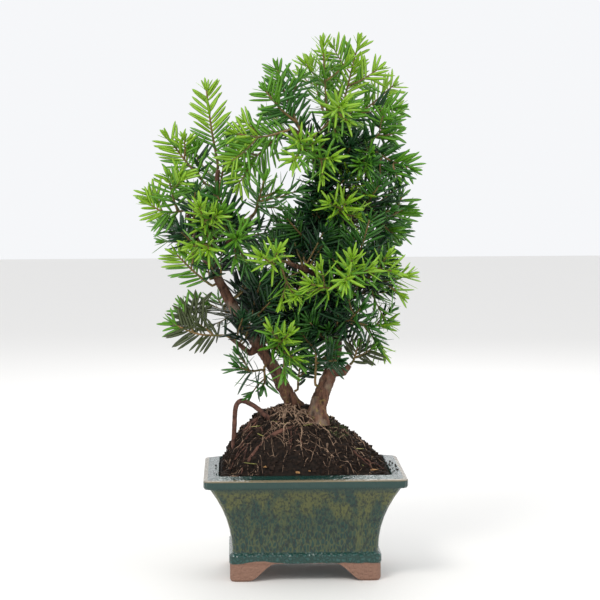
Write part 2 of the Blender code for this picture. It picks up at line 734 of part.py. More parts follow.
def smooth_round_pieces():
    for obj in bpy.data.objects:
        if not obj.name.startswith("mass_"):
            obj.data.shade_smooth()
            obj.data.set_sharp_from_angle(angle=math.radians(40))


def main():
    clear_scene()
    limbs = {}
    make_pot()
    make_stems(limbs)
    make_boughs(limbs)
    beds = make_roots()
    make_soil(beds + stem_beds(limbs))
    make_masses(limbs)
    smooth_round_pieces()
    centre_model()


main()
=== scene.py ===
# %% [markdown]
# # Hybrid yew bonsai in a glazed pot
# The real plant is a small yew with two stems. It stands in a mound of dark soil, in a rectangular
# glazed pot on four clay feet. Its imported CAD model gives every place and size, and this script
# dresses that model: finer twigs and needles grow on the limbs, the soil is crumbled and rooted, and
# the pot is glazed.
#
# Lengths are written in millimetres in the pot's own frame, whose origin is under the middle of the
# pot, and become metres when a mesh is made. A plant could be shaped by hand, twig by twig. Most
# pieces here are built from arrays of points instead, because thousands of needles follow one rule
# and share a few meshes.

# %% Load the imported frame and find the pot
import math
import random

import bpy
import numpy as np
from mathutils import Matrix, Vector, noise


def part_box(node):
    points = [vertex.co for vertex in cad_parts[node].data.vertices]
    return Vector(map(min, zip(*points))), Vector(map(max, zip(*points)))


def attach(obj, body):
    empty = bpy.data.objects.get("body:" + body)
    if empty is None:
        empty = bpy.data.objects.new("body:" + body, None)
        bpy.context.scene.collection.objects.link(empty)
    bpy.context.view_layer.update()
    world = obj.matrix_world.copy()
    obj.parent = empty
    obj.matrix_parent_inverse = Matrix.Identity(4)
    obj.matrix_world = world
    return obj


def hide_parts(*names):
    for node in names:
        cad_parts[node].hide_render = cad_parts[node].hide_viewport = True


MM = 0.001
UP = Vector((0, 0, 1))
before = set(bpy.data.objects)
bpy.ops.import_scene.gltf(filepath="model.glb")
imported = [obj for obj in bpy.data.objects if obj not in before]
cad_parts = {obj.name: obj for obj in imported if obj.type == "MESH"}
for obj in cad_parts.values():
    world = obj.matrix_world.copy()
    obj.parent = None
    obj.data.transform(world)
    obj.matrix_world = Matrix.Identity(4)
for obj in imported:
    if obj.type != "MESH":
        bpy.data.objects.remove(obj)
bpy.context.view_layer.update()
pot_low, pot_high = (Vector(corner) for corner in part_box("pot"))
POT_CENTRE = Vector(((pot_low.x + pot_high.x) / 2, (pot_low.y + pot_high.y) / 2, 0.0))
print("CAD nodes:", len(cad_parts))
print("middle of the pot in mm:", [round(value / MM, 1) for value in POT_CENTRE])

# %% [markdown]
# ## Camera
# The tree is seen from the front, a little above the rim, and with so little perspective that the lens
# must be long and far away. A camera could be turned by hand until it looks right. Here its three
# axes are worked out from a turn, a dip and a roll in degrees, because these were fitted to the edges
# of the pot, and three axes in a matrix can't be turned in the wrong order.

# %% Place the camera
CAMERA_TURN = 1.813
CAMERA_DIP = 4.581
CAMERA_ROLL = -0.270
CAMERA_DISTANCE = 1550.8
CAMERA_LENS = 123.6
CAMERA_TARGET = (-1.95, 0.0, 205.95)
SENSOR_WIDTH = 36.0
NEAREST_SEEN = 0.05


def make_camera():
    turn, dip, roll = (math.radians(angle) for angle in (CAMERA_TURN, CAMERA_DIP, CAMERA_ROLL))
    forward = Vector((math.sin(turn) * math.cos(dip), math.cos(turn) * math.cos(dip),
                      -math.sin(dip)))
    level = Vector((math.cos(turn), -math.sin(turn), 0.0))
    upright = level.cross(forward)
    right = level * math.cos(roll) + upright * math.sin(roll)
    above = upright * math.cos(roll) - level * math.sin(roll)
    place = POT_CENTRE + (Vector(CAMERA_TARGET) - forward * CAMERA_DISTANCE) * MM
    data = bpy.data.cameras.new("camera")
    data.lens = CAMERA_LENS
    data.sensor_width = SENSOR_WIDTH
    data.clip_start = NEAREST_SEEN
    camera = bpy.data.objects.new("camera", data)
    bpy.context.scene.collection.objects.link(camera)
    turned = Matrix((right, above, -forward)).transposed().to_4x4()
    camera.matrix_world = Matrix.Translation(place) @ turned
    bpy.context.scene.camera = camera
    print("camera in metres:", [round(value, 3) for value in place])


make_camera()

# %% [markdown]
# ## Sky and lights
# A plant like this is pictured in soft daylight. One sun lamp would do for a plain shape, but needles
# two millimetres wide would throw a tangle of hard shadows. A pale world lights them from all
# sides, a large lamp at the front left gives the direction, and one behind brings out the edges.

# %% Light the sky
SKY_COLOUR = (0.97, 0.98, 1.0, 1.0)
SKY_STRENGTH = 0.95

studio = bpy.context.scene
studio.view_settings.view_transform = "Standard"
sky = bpy.data.worlds.new("studio")
sky.use_nodes = True
background = sky.node_tree.nodes["Background"]
background.inputs["Color"].default_value = SKY_COLOUR
background.inputs["Strength"].default_value = SKY_STRENGTH
studio.world = sky
print("sky strength:", SKY_STRENGTH)

# %% Hang three soft lamps
WHITE = (1.0, 1.0, 1.0)
LIGHT_AIM = Vector((0, 0, 0.2))
# Name, place in metres, width in metres, power in watts and colour
STUDIO_LIGHTS = [
    ("key_light", (-0.55, -1.0, 1.35), 0.5, 11.0, (1.0, 0.98, 0.94)),
    ("fill_light", (1.1, -0.7, 0.7), 0.9, 2.0, WHITE),
    ("back_light", (0.2, 1.1, 1.0), 0.8, 5.0, WHITE),
]


def make_area_light(name, place, width, power, colour):
    data = bpy.data.lights.new(name, "AREA")
    data.size = width
    data.energy = power
    data.color = colour
    light = bpy.data.objects.new(name, data)
    light.location = place
    light.rotation_euler = (LIGHT_AIM - Vector(place)).to_track_quat("-Z", "Y").to_euler()
    bpy.context.scene.collection.objects.link(light)
    print(name, power, "W")


for light_row in STUDIO_LIGHTS:
    make_area_light(*light_row)

# %% [markdown]
# ## Floor
# The feet of the pot need something to stand on and to throw a shadow on. A curved backdrop would
# hide the horizon, but a plain pale plane is enough, as it belongs to the studio and not to the
# bonsai.

# %% Lay the floor
FLOOR_SIZE = 8.0
FLOOR_COLOUR = (0.84, 0.83, 0.81, 1.0)


def surface_of(material):
    return material.node_tree.nodes["Principled BSDF"]


def new_material(name, roughness, specular):
    material = bpy.data.materials.new(name)
    material.use_nodes = True
    surface_of(material).inputs["Roughness"].default_value = roughness
    surface_of(material).inputs["Specular IOR Level"].default_value = specular
    return material


bpy.ops.mesh.primitive_plane_add(size=FLOOR_SIZE, location=(0, 0, 0))
floor = bpy.context.active_object
floor.name = "floor"
floor_finish = new_material("floor", roughness=0.85, specular=0.5)
surface_of(floor_finish).inputs["Base Color"].default_value = FLOOR_COLOUR
floor.data.materials.append(floor_finish)
print("floor:", FLOOR_SIZE, "m wide")

# %% [markdown]
# ## How a finish is wired
# Bark, soil and glaze have no two spots alike. A painted picture could be laid over them, but it would
# need unwrapping and could stretch. Each finish is built from noise instead. Its nodes could be made
# one line at a time, and a small class with one short method for each kind of node lets a finish be
# read from top to bottom. Patterns read Object coordinates in metres, so they stay fixed to a piece.

# %% Short words for material nodes
MIX_FIRST, MIX_SECOND, MIX_RESULT = 6, 7, 2


class Graph:
    """Short ways to add the nodes of one material."""

    def __init__(self, material):
        self.tree = material.node_tree
        self.shader = surface_of(material)
        self.coords = self.tree.nodes.new("ShaderNodeTexCoord").outputs["Object"]

    def link(self, source, socket):
        self.tree.links.new(source, socket)

    def scaled(self, scale):
        node = self.tree.nodes.new("ShaderNodeMapping")
        node.inputs["Scale"].default_value = scale
        self.link(self.coords, node.inputs["Vector"])
        return node.outputs["Vector"]

    def noise(self, scale, detail=4.0, vector=None, roughness=0.55):
        node = self.tree.nodes.new("ShaderNodeTexNoise")
        node.inputs["Scale"].default_value = scale
        node.inputs["Detail"].default_value = detail
        node.inputs["Roughness"].default_value = roughness
        self.link(vector or self.coords, node.inputs["Vector"])
        return node.outputs["Fac"]

    def cells(self, scale, vector=None):
        """Distance to the edge of the nearest cell, small along a net of lines."""
        node = self.tree.nodes.new("ShaderNodeTexVoronoi")
        node.feature = "DISTANCE_TO_EDGE"
        node.inputs["Scale"].default_value = scale
        self.link(vector or self.coords, node.inputs["Vector"])
        return node.outputs["Distance"]

    def height(self):
        node = self.tree.nodes.new("ShaderNodeSeparateXYZ")
        self.link(self.coords, node.inputs["Vector"])
        return node.outputs["Z"]

    def maths(self, operation, first, second):
        node = self.tree.nodes.new("ShaderNodeMath")
        node.operation = operation
        for socket, value in zip(node.inputs, (first, second)):
            if isinstance(value, (int, float)):
                socket.default_value = value
            else:
                self.link(value, socket)
        return node.outputs["Value"]

    def between(self, value, low, high, to_low=0.0, to_high=1.0):
        node = self.tree.nodes.new("ShaderNodeMapRange")
        node.inputs["From Min"].default_value = low
        node.inputs["From Max"].default_value = high
        node.inputs["To Min"].default_value = to_low
        node.inputs["To Max"].default_value = to_high
        self.link(value, node.inputs["Value"])
        return node.outputs["Result"]

    def mix(self, share, first, second):
        node = self.tree.nodes.new("ShaderNodeMix")
        node.data_type = "RGBA"
        self.link(share, node.inputs["Factor"])
        for socket, value in ((node.inputs[MIX_FIRST], first), (node.inputs[MIX_SECOND], second)):
            if isinstance(value, tuple):
                socket.default_value = (*value, 1.0)
            else:
                self.link(value, socket)
        return node.outputs[MIX_RESULT]

    def bump(self, height, distance, strength=1.0):
        node = self.tree.nodes.new("ShaderNodeBump")
        node.inputs["Strength"].default_value = strength
        node.inputs["Distance"].default_value = distance
        self.link(height, node.inputs["Height"])
        self.link(node.outputs["Normal"], self.shader.inputs["Normal"])

    def colour(self, source):
        self.link(source, self.shader.inputs["Base Color"])

    def roughness(self, source):
        self.link(source, self.shader.inputs["Roughness"])


# %% [markdown]
# ## Many small bodies in one mesh
# A bonsai has thousands of needles and crumbs. Each could be an object of its own, but Blender slows
# down with so many. So their points and faces are gathered as arrays, and one object is made of all
# of a kind. Each small body stays closed in itself.

# %% Gather bodies and make one piece
class Heap:
    """Points and quads of many small bodies, joined in one object at the end."""

    def __init__(self):
        self.points = []
        self.quads = []
        self.count = 0

    def add(self, points, quads):
        self.points.append(np.asarray(points, dtype=np.float64))
        self.quads.append(np.asarray(quads, dtype=np.int64) + self.count)
        self.count += len(points)

    def make(self, name, material, replaced=(), smooth=True):
        points = np.concatenate(self.points) * MM + np.array(POT_CENTRE)
        quads = np.concatenate(self.quads)
        mesh = bpy.data.meshes.new(name)
        mesh.from_pydata(points.tolist(), [], quads.tolist())
        if smooth:
            mesh.shade_smooth()
        mesh.materials.append(material)
        obj = bpy.data.objects.new(name, mesh)
        bpy.context.scene.collection.objects.link(obj)
        if replaced:
            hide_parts(*replaced)
        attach(obj, "root")
        print(f"{name}: {2 * len(quads)} triangles")


# %% [markdown]
# ## Tubes along a line
# Stems, boughs, twigs and roots are all tubes that taper and bend. A curve object with a bevel makes
# such a tube at once, but its skin can't be pushed in and out. So rings of points are set along a
# smooth line and joined by quads. The rings are carried along without twist, or bark would spiral.
# Both ends are folded shut, so that every tube is closed.

# %% Join rings into a closed tube
def ring_quads(rings, sides):
    """Quads of a tube of rings, with its two ends folded shut by quads."""
    quads = []
    for level in range(rings - 1):
        for i in range(sides):
            j = (i + 1) % sides
            low = level * sides
            quads.append((low + i, low + j, low + sides + j, low + sides + i))
    half = sides // 2
    last = (rings - 1) * sides
    for i in range(half - 1):
        quads.append((i + 1, i, sides - 1 - i, sides - 2 - i))
        quads.append((last + i, last + i + 1, last + sides - 2 - i, last + sides - 1 - i))
    return quads


# %% Draw a smooth line
POINTS_BETWEEN = 12
TINY = 1e-9


def smooth_path(points, steps):
    """Evenly spaced points on a smooth curve through the given ones."""
    points = [Vector(point) for point in points]
    ends = [2 * points[0] - points[1]] + points + [2 * points[-1] - points[-2]]
    fine = []
    for i in range(1, len(ends) - 2):
        p0, p1, p2, p3 = ends[i - 1:i + 3]
        for k in range(POINTS_BETWEEN):
            t = k / POINTS_BETWEEN
            fine.append(0.5 * (2 * p1 + (p2 - p0) * t + (2 * p0 - 5 * p1 + 4 * p2 - p3) * t ** 2
                               + (3 * p1 - p0 - 3 * p2 + p3) * t ** 3))
    fine.append(points[-1])
    lengths = [0.0]
    for a, b in zip(fine, fine[1:]):
        lengths.append(lengths[-1] + (b - a).length)
    even = []
    for step in range(steps + 1):
        want = lengths[-1] * step / steps
        i = min(max(k for k, length in enumerate(lengths) if length <= want + TINY),
                len(fine) - 2)
        span = max(lengths[i + 1] - lengths[i], TINY)
        even.append(fine[i].lerp(fine[i + 1], (want - lengths[i]) / span))
    return even


# %% Measure a limb and taper it
class Limb:
    """A tapering limb: its middle line, and its radius at any share of its length."""

    def __init__(self, path, radii):
        self.path = path
        self.radii = radii

    def at(self, share):
        place = share * (len(self.path) - 1)
        i = min(int(place), len(self.path) - 2)
        point = self.path[i].lerp(self.path[i + 1], place - i)
        tangent = (self.path[i + 1] - self.path[i]).normalized()
        radius = self.radii[i] + (self.radii[i + 1] - self.radii[i]) * (place - i)
        return point, tangent, radius


def tapered(path, root, tip):
    return [root + (tip - root) * i / (len(path) - 1) for i in range(len(path))]


def length_of(path):
    return sum((b - a).length for a, b in zip(path, path[1:]))


# %% Sweep rings along a line
def frames_along(path, facing=None):
    """Tangent, across and up at each point, carried along without twist."""
    tangent = facing or (path[1] - path[0]).normalized()
    across = tangent.orthogonal().normalized()
    frames = []
    for i in range(len(path)):
        if i:
            turned = (path[min(i + 1, len(path) - 1)] - path[i - 1]).normalized()
            across = tangent.rotation_difference(turned) @ across
            tangent = turned
        frames.append((tangent, across, tangent.cross(across).normalized()))
    return frames


def add_tube(heap, path, radii, sides, facing=None, relief=None):
    """A tube along a path; relief gives the share by which each point stands out."""
    points = []
    for i, (tangent, across, up) in enumerate(frames_along(path, facing)):
        for side in range(sides):
            angle = 2 * math.pi * side / sides
            offset = across * math.cos(angle) + up * math.sin(angle)
            swell = relief(path[i], offset, i / (len(path) - 1)) if relief else 1.0
            points.append(tuple(path[i] + offset * radii[i] * swell))
    heap.add(points, ring_quads(len(path), sides))


# %% [markdown]
# ## Bark
# Yew bark is reddish brown. It flakes in long plates that leave paler patches, with ochre specks low
# on the stems. A single brown noise would look like clay, so a noise stretched along the stem gives
# the plates, a broad one greys some patches, and a fine one adds the specks below a set height.

# %% Mix the bark
BARK_FURROW = (0.028, 0.015, 0.011)
BARK_BROWN = (0.20, 0.098, 0.062)
BARK_GREY = (0.27, 0.215, 0.165)
BARK_OCHRE = (0.26, 0.19, 0.055)
BARK_PLATES = (420.0, 420.0, 90.0)
BARK_PATCHES = 75.0
BARK_SPECKS = 300.0
OCHRE_BELOW = (0.150, 0.120)
BARK_ROUGHNESS, BARK_SPECULAR = 0.85, 0.25
PLATE_DETAIL, PLATE_ROUGHNESS, PLATE_FROM = 6.0, 0.65, (0.35, 0.65)
PATCH_DETAIL, PATCH_FROM, PATCH_SHARE = 3.0, (0.50, 0.70), (0.0, 0.7)
SPECK_DETAIL, SPECK_FROM, SPECK_SHARE = 3.0, (0.55, 0.65), 0.7
PLATE_BUMP, PLATE_BUMP_STRENGTH = 0.0010, 0.8


def bark_material():
    material = new_material("bark", BARK_ROUGHNESS, BARK_SPECULAR)
    graph = Graph(material)
    plates = graph.noise(1.0, PLATE_DETAIL, graph.scaled(BARK_PLATES), PLATE_ROUGHNESS)
    brown = graph.mix(graph.between(plates, *PLATE_FROM), BARK_FURROW, BARK_BROWN)
    patches = graph.between(graph.noise(BARK_PATCHES, PATCH_DETAIL), *PATCH_FROM, *PATCH_SHARE)
    greyed = graph.mix(patches, brown, BARK_GREY)
    low = graph.between(graph.height(), *OCHRE_BELOW)
    specks = graph.between(graph.noise(BARK_SPECKS, SPECK_DETAIL), *SPECK_FROM)
    ochre = graph.maths("MULTIPLY", graph.maths("MULTIPLY", low, specks), SPECK_SHARE)
    graph.colour(graph.mix(ochre, greyed, BARK_OCHRE))
    graph.bump(plates, PLATE_BUMP, PLATE_BUMP_STRENGTH)
    return material


bark = bark_material()
print("bark nodes:", len(bark.node_tree.nodes))

# %% [markdown]
# ## Lines of the limbs
# Two stems leave the soil close together and lean apart, and the boughs spring from their sides. They
# could be traced again over the photograph, but the CAD solids already follow these lines, so the
# same places and radii are named here. A bough starts just clear of its stem's skin, as its solid
# does, so the finer limb lies over the solid that it stands for.

# %% Name the stems and boughs
CLEAR = 0.35
STEM_POINTS = 15
BOUGH_POINTS = 5
BOUGH_LEAVE = 4.0
BOUGH_BEND = 2.0

# Place on the middle line and radius there
STEMS = {
    "stem_left": [
        ((-4, 8, 119), 7.2), ((-6, 7, 125), 5.8), ((-13, 4, 136), 5.3), ((-22, 0, 155), 4.7),
        ((-36, -2, 176), 4.4), ((-48, -2, 194), 4.0), ((-59, 0, 214), 3.6), ((-67, 0, 232), 3.1),
        ((-68, 2, 250), 2.6), ((-65, 4, 280), 2.0), ((-63, 3, 304), 1.6),
    ],
    "stem_right": [
        ((9, -9, 112.5), 8.8), ((9, -9, 119), 6.8), ((14, -6, 135), 5.8), ((20, -4, 150), 5.2),
        ((24, -2, 165), 4.7), ((24, 0, 180), 4.3), ((22, 2, 206), 3.8), ((19, 3, 236), 3.3),
        ((18, 4, 270), 2.8), ((17, 4, 301), 2.3), ((20, 4, 326), 1.8),
    ],
}

# Stem, share along it, tip, radius at the root and at the tip
BOUGHS = {
    "bough_fork": ("stem_right", 0.20, (35, -6, 157), 3.0, 1.9),
    "bough_right_mid": ("stem_right", 0.43, (38, -14, 222), 2.4, 1.5),
    "bough_right_high": ("stem_right", 0.71, (40, 8, 264), 2.1, 1.4),
    "bough_top_right": ("stem_right", 0.87, (38, 9, 315), 1.9, 1.3),
    "bough_top_left": ("stem_right", 0.91, (-4, -12, 332), 1.7, 1.2),
    "bough_front": ("stem_right", 0.53, (-12, -28, 236), 2.1, 1.4),
    "bough_left_outer": ("stem_left", 0.66, (-86, -8, 271), 2.1, 1.4),
    "bough_left_inner": ("stem_left", 0.70, (-38, -18, 270), 1.9, 1.3),
    "bough_low_left": ("stem_left", 0.30, (-54, -7, 178), 2.2, 1.4),
    "bough_back_high": ("stem_right", 0.80, (20, 40, 338), 2.0, 1.4),
    "bough_back_mid": ("stem_right", 0.56, (28, 42, 258), 2.2, 1.4),
    "bough_back_low": ("stem_right", 0.33, (8, 38, 202), 2.2, 1.4),
    "bough_back_left": ("stem_left", 0.60, (-72, 38, 258), 2.1, 1.4),
}

# %% Draw the limbs' middle lines
def leave_limb(limb, share, target):
    point, tangent, radius = limb.at(share)
    if share >= 1.0:
        return point + tangent * CLEAR, tangent
    aim = Vector(target) - point
    outward = (aim - tangent * aim.dot(tangent)).normalized()
    return point + outward * (radius + CLEAR), outward


limbs = {}
for name, rows in STEMS.items():
    path = smooth_path([place for place, _ in rows], STEM_POINTS)
    heights = [place[2] for place, _ in rows]
    radii = [float(np.interp(point.z, heights, [radius for _, radius in rows])) for point in path]
    path[0] = Vector(rows[0][0])
    limbs[name] = Limb(path, radii)
for name, (parent, share, tip, root_radius, tip_radius) in BOUGHS.items():
    start, outward = leave_limb(limbs[parent], share, tip)
    tip = Vector(tip)
    middle = start.lerp(tip, 0.5) + outward * BOUGH_BEND
    path = smooth_path([start, start + outward * BOUGH_LEAVE, middle, tip], BOUGH_POINTS)
    limbs[name] = Limb(path, tapered(path, root_radius, tip_radius))
for name in STEMS:
    print(name, "is", round(length_of(limbs[name].path)), "mm long")
print("boughs:", len(BOUGHS))

# %% [markdown]
# ## Furrows and buttresses
# Close up, the bark stands in ridges, and each stem spreads at its foot. A bump in the finish alone
# would leave the outline smooth, so the skin itself is moved. Three noises of falling size make knots,
# plates and grain, and three low buttresses are supposed at the foot. A displace modifier could do it
# with textures, but a formula can follow the stem's length and fade the buttresses out further up.

# %% Shape the skin of a limb
SKIN_OUT = 4.0
PLATE_SCALE = (0.55, 0.55, 0.11)
GRAIN_SCALE = (1.6, 1.6, 0.45)
GRAIN_SHIFT = (9, 4, 2)
KNOT_SCALE = (0.12, 0.12, 0.06)
PLATE_PART = 1.1
GRAIN_PART = 0.6
KNOT_DEPTH = 0.10
FLARE_SHARE = 0.09
BUTTRESSES = 3
BUTTRESS_TURN = 0.8
BUTTRESS_DEPTH = 0.35
FEWEST_RINGS = 6


def noise_at(point, scales, shift=(0, 0, 0)):
    """Smooth noise at a point whose three axes are scaled, and then shifted."""
    scaled = Vector([value * scale for value, scale in zip(point, scales)])
    return noise.noise(scaled + Vector(shift))


def bark_relief(depth, flutes):
    """Long plates and furrows over the limb's skin, and buttresses near its foot."""
    def relief(point, offset, share):
        skin = point + offset * SKIN_OUT
        plates = noise_at(skin, PLATE_SCALE)
        grain = noise_at(skin, GRAIN_SCALE, GRAIN_SHIFT)
        knots = noise_at(skin, KNOT_SCALE)
        angle = math.atan2(offset.y, offset.x)
        foot = max(0.0, 1.0 - share / FLARE_SHARE) ** 2
        round_foot = 0.5 + 0.5 * math.cos(BUTTRESSES * angle + BUTTRESS_TURN)
        buttress = flutes * foot * round_foot * BUTTRESS_DEPTH
        return (1.0 + depth * (PLATE_PART * plates + GRAIN_PART * grain) + KNOT_DEPTH * knots
                + buttress)
    return relief


def refine(path, radii, step):
    """The same limb with rings close enough together to carry the bark."""
    count = max(FEWEST_RINGS, round(length_of(path) / step))
    limb = Limb(path, radii)
    fine = smooth_path(path, count)
    return fine, [limb.at(i / count)[2] for i in range(count + 1)]


# %% [markdown]
# ## Stems and boughs
# A bough doesn't end at the stem's skin: it runs in, and a collar of bark swells round its root. The
# two could be joined with a boolean, which needs both skins clean. The bough's tube is simply begun
# inside the stem and made thicker there, so the joint is hidden.

# %% Make the stems and boughs
BARK_STEP = 1.1
STEM_SIDES = 32
STEM_BARK_DEPTH = 0.16
BOUGH_SIDES = 16
BOUGH_BARK_DEPTH = 0.12
SEAT_SHARE = 0.6
SEAT_SWELL = 1.5
COLLAR_SWELL = 0.45
COLLAR_RINGS = 2.5


def make_limb_mesh(name):
    heap = Heap()
    path, radii = refine(limbs[name].path, limbs[name].radii, BARK_STEP)
    if name in STEMS:
        add_tube(heap, path, radii, STEM_SIDES, UP, bark_relief(STEM_BARK_DEPTH, 1.0))
    else:
        parent, share = BOUGHS[name][:2]
        seat = limbs[parent].at(share)[0]
        path = [seat.lerp(path[0], SEAT_SHARE)] + path
        radii = [radii[0] * SEAT_SWELL] + [radius * (1 + COLLAR_SWELL * math.exp(-i / COLLAR_RINGS))
                                           for i, radius in enumerate(radii)]
        add_tube(heap, path, radii, BOUGH_SIDES, None, bark_relief(BOUGH_BARK_DEPTH, 0.0))
    heap.make(name + "_bark", bark, [name])


for name in limbs:
    make_limb_mesh(name)

# %% [markdown]
# ## Leafy shoots
# The crown is a set of sprays, each with a stem of its own. Some are combs, with needles to both sides
# of a flat spray, some are fans that lie level, and some are stars with needles all round. They could
# be scattered at random over the limbs, but then the crown's outline would be lost. So each mass of
# the CAD model is grown again, from the same table, rule and seed, and keeps the tips it reaches. The
# CAD model then leaves out side shoots that come near a limb or another mass, and here all stay.

# %% Name the foliage masses
# Limb, share along it, tips, side shoots, habit and tone
MASSES = {
    "mass_top_centre": ("stem_right", 1.0, [(16, -4, 396), (27, -46, 351)], 1, "star", "bright"),
    "mass_top_right": ("stem_right", 0.96, [(43, 13, 397), (71, 34, 367)], 1, "comb", "bright"),
    "mass_top_left": ("bough_top_left", 0.7, [(-18, -6, 378), (-27, -20, 362)], 1, "comb", "mid"),
    "mass_left_reach": (
        "bough_top_left", 1.0, [(-50, -24, 331), (-45, -8, 307)], 1, "comb", "bright"),
    "mass_front_high": (
        "bough_top_left", 0.45, [(-4, -50, 327), (20, -50, 313)], 1, "star", "bright"),
    "mass_right_up": (
        "bough_top_right", 1.0, [(68, 3, 342), (80, -12, 305), (50, -30, 316)], 1, "comb", "mid"),
    "mass_right_high": ("bough_right_high", 1.0, [(78, 3, 274), (70, 24, 250)], 2, "comb", "mid"),
    "mass_front_upright": (
        "stem_right", 0.74, [(31, -38, 280), (40, -22, 296)], 2, "star", "bright"),
    "mass_right_reach": (
        "bough_right_mid", 1.0, [(76, -20, 225), (60, -40, 240)], 1, "star", "bright"),
    "mass_front_right": (
        "bough_right_mid", 0.6, [(34, -60, 240), (4, -56, 222)], 1, "star", "bright"),
    "mass_right_low": ("stem_right", 0.36, [(41, -44, 203), (64, -8, 188)], 2, "star", "dark"),
    "mass_fork": ("bough_fork", 1.0, [(41, -8, 171)], 2, "comb", "olive"),
    "mass_front": ("bough_front", 1.0, [(-31, -60, 242), (-8, -50, 214)], 1, "star", "bright"),
    "mass_front_low": ("stem_left", 0.28, [(-12, -48, 185)], 2, "star", "bright"),
    "mass_inner_left": (
        "bough_left_inner", 1.0, [(-29, -40, 297), (-30, -10, 280)], 1, "star", "mid"),
    "mass_inner_front": ("bough_left_inner", 0.5, [(-49, -50, 256)], 2, "star", "mid"),
    "mass_centre": ("stem_right", 0.13, [(8, -14, 188)], 3, "comb", "dark"),
    "mass_inner_low": ("stem_left", 0.44, [(-24, -12, 206), (-28, 24, 214)], 1, "comb", "dark"),
    "mass_inner_mid": ("stem_right", 0.62, [(-12, -16, 268), (-14, 18, 238)], 1, "comb", "dark"),
    "mass_between": ("stem_left", 0.08, [(-1, 6, 160)], 2, "comb", "dark"),
    "mass_left_leader": ("stem_left", 1.0, [(-71, -1, 363)], 0, "comb", "bright"),
    "mass_left_shoot": ("stem_left", 0.93, [(-99, -4, 327)], 1, "comb", "bright"),
    "mass_left_reach_low": (
        "bough_left_outer", 1.0, [(-114, -13, 279), (-99, -28, 299)], 1, "comb", "bright"),
    "mass_left_front": (
        "stem_left", 0.76, [(-76, -50, 278), (-70, -46, 247)], 1, "star", "bright"),
    "mass_left_small": ("stem_left", 0.58, [(-94, -7, 241)], 1, "comb", "bright"),
    "mass_low_left": ("bough_low_left", 1.0, [(-98, -12, 190), (-89, -4, 201)], 1, "comb", "olive"),
    "mass_hanging": ("stem_left", 0.23, [(-30, -14, 143), (-48, -22, 158)], 1, "star", "dark"),
    "mass_back_top": ("bough_back_high", 1.0, [(10, 54, 384), (44, 58, 352)], 1, "star", "bright"),
    "mass_back_top_left": ("bough_back_high", 0.6, [(-24, 44, 346)], 2, "fan", "mid"),
    "mass_back_upper": ("bough_back_high", 0.4, [(26, 66, 308), (54, 44, 312)], 1, "fan", "mid"),
    "mass_back_right": ("bough_back_mid", 0.7, [(68, 48, 276)], 2, "fan", "mid"),
    "mass_back": ("bough_back_mid", 1.0, [(20, 68, 274), (48, 62, 238)], 1, "star", "bright"),
    "mass_back_centre": ("bough_back_mid", 0.45, [(-14, 48, 262)], 3, "fan", "dark"),
    "mass_back_low": ("bough_back_low", 1.0, [(4, 62, 224), (36, 52, 198)], 1, "star", "mid"),
    "mass_back_low_left": ("bough_back_low", 0.55, [(-26, 46, 200)], 2, "fan", "dark"),
    "mass_back_left": (
        "bough_back_left", 1.0, [(-80, 62, 282), (-48, 62, 262)], 1, "star", "bright"),
    "mass_back_left_out": ("bough_back_left", 0.6, [(-104, 36, 264)], 2, "fan", "mid"),
    "mass_back_leader": ("stem_left", 0.85, [(-56, 40, 324)], 2, "fan", "mid"),
    "mass_back_left_low": ("stem_left", 0.42, [(-64, 38, 204)], 2, "fan", "olive"),
}

TONE_OF_TIP = {"bright": "lime", "mid": "fresh", "dark": "green", "olive": "fresh"}
TONE_OF_BODY = {"bright": "fresh", "mid": "green", "dark": "deep", "olive": "drab"}
LIME_ENDS = ("mass_right_low",)
print("foliage masses:", len(MASSES))

# %% Draw one leafy shoot
SHOOT_LEAVE = 3.0
SHOOT_MIDDLE = 0.55


class Shoot:
    """One leafy twig: its middle line and radii, how its needles stand, and its two tones."""

    def __init__(self, path, root_radius, tip_radius, habit, tones, leafy_from=0.2):
        self.path = path
        self.limb = Limb(path, tapered(path, root_radius, tip_radius))
        self.habit = habit
        self.tones = tones
        self.leafy_from = leafy_from
        self.length = length_of(path)


def bent_path(start, outward, tip, lift, steps):
    middle = start.lerp(tip, SHOOT_MIDDLE) + Vector((0, 0, lift))
    return smooth_path([start, start + outward * SHOOT_LEAVE, middle, tip], steps)


# %% Let a twig branch
LEAST_ACROSS = 0.3
SIDE_KNEE = 0.5
SIDE_CURL = 0.12


def sideways(tangent, habit):
    """The way across a spray: fans lie level, combs and stars face the front."""
    facing = UP if habit == "fan" else Vector((0, 1, 0))
    across = tangent.cross(facing)
    if across.length < LEAST_ACROSS:
        across = tangent.cross(Vector((1, 0, 0)))
    return across.normalized()


def branch(twig, share, turn, angle, roll, reach, steps, radii, tones):
    """A side shoot of a twig, leaving at an angle and bending towards the twig's own way."""
    point, tangent, _ = twig.limb.at(share)
    across = sideways(tangent, twig.habit)
    away = across * math.cos(roll) + tangent.cross(across) * math.sin(roll)
    way = tangent * math.cos(angle) + away * (turn * math.sin(angle))
    path = smooth_path([point, point + way * reach * SIDE_KNEE,
                        point + way * reach + tangent * reach * SIDE_CURL], steps)
    return Shoot(path, *radii, twig.habit, tones)


# %% Grow one mass as the CAD model does
TWIG_ROOT = 1.05
TWIG_TIP = 0.6
SIDE_ROOT = 0.85
SIDE_TIP = 0.5
FORK_AT = 0.3
SIDE_ANGLE = 52.0
SIDE_SHARE = 0.55
SHORTEST_SIDE = 14.0
FORK_SLIM = 0.9
MAIN_SAG, FORK_SAG = -3.0, -2.0
MAIN_POINTS, FORK_POINTS, SIDE_POINTS = 10, 8, 5
MAIN_LEAFY_FROM = 0.25
SIDE_FROM, SIDE_SPAN, SIDE_JITTER = 0.36, 0.5, 0.05
SIDE_ROLL = 40
SIDE_SWAY = 8
SHORTENING = 1.15


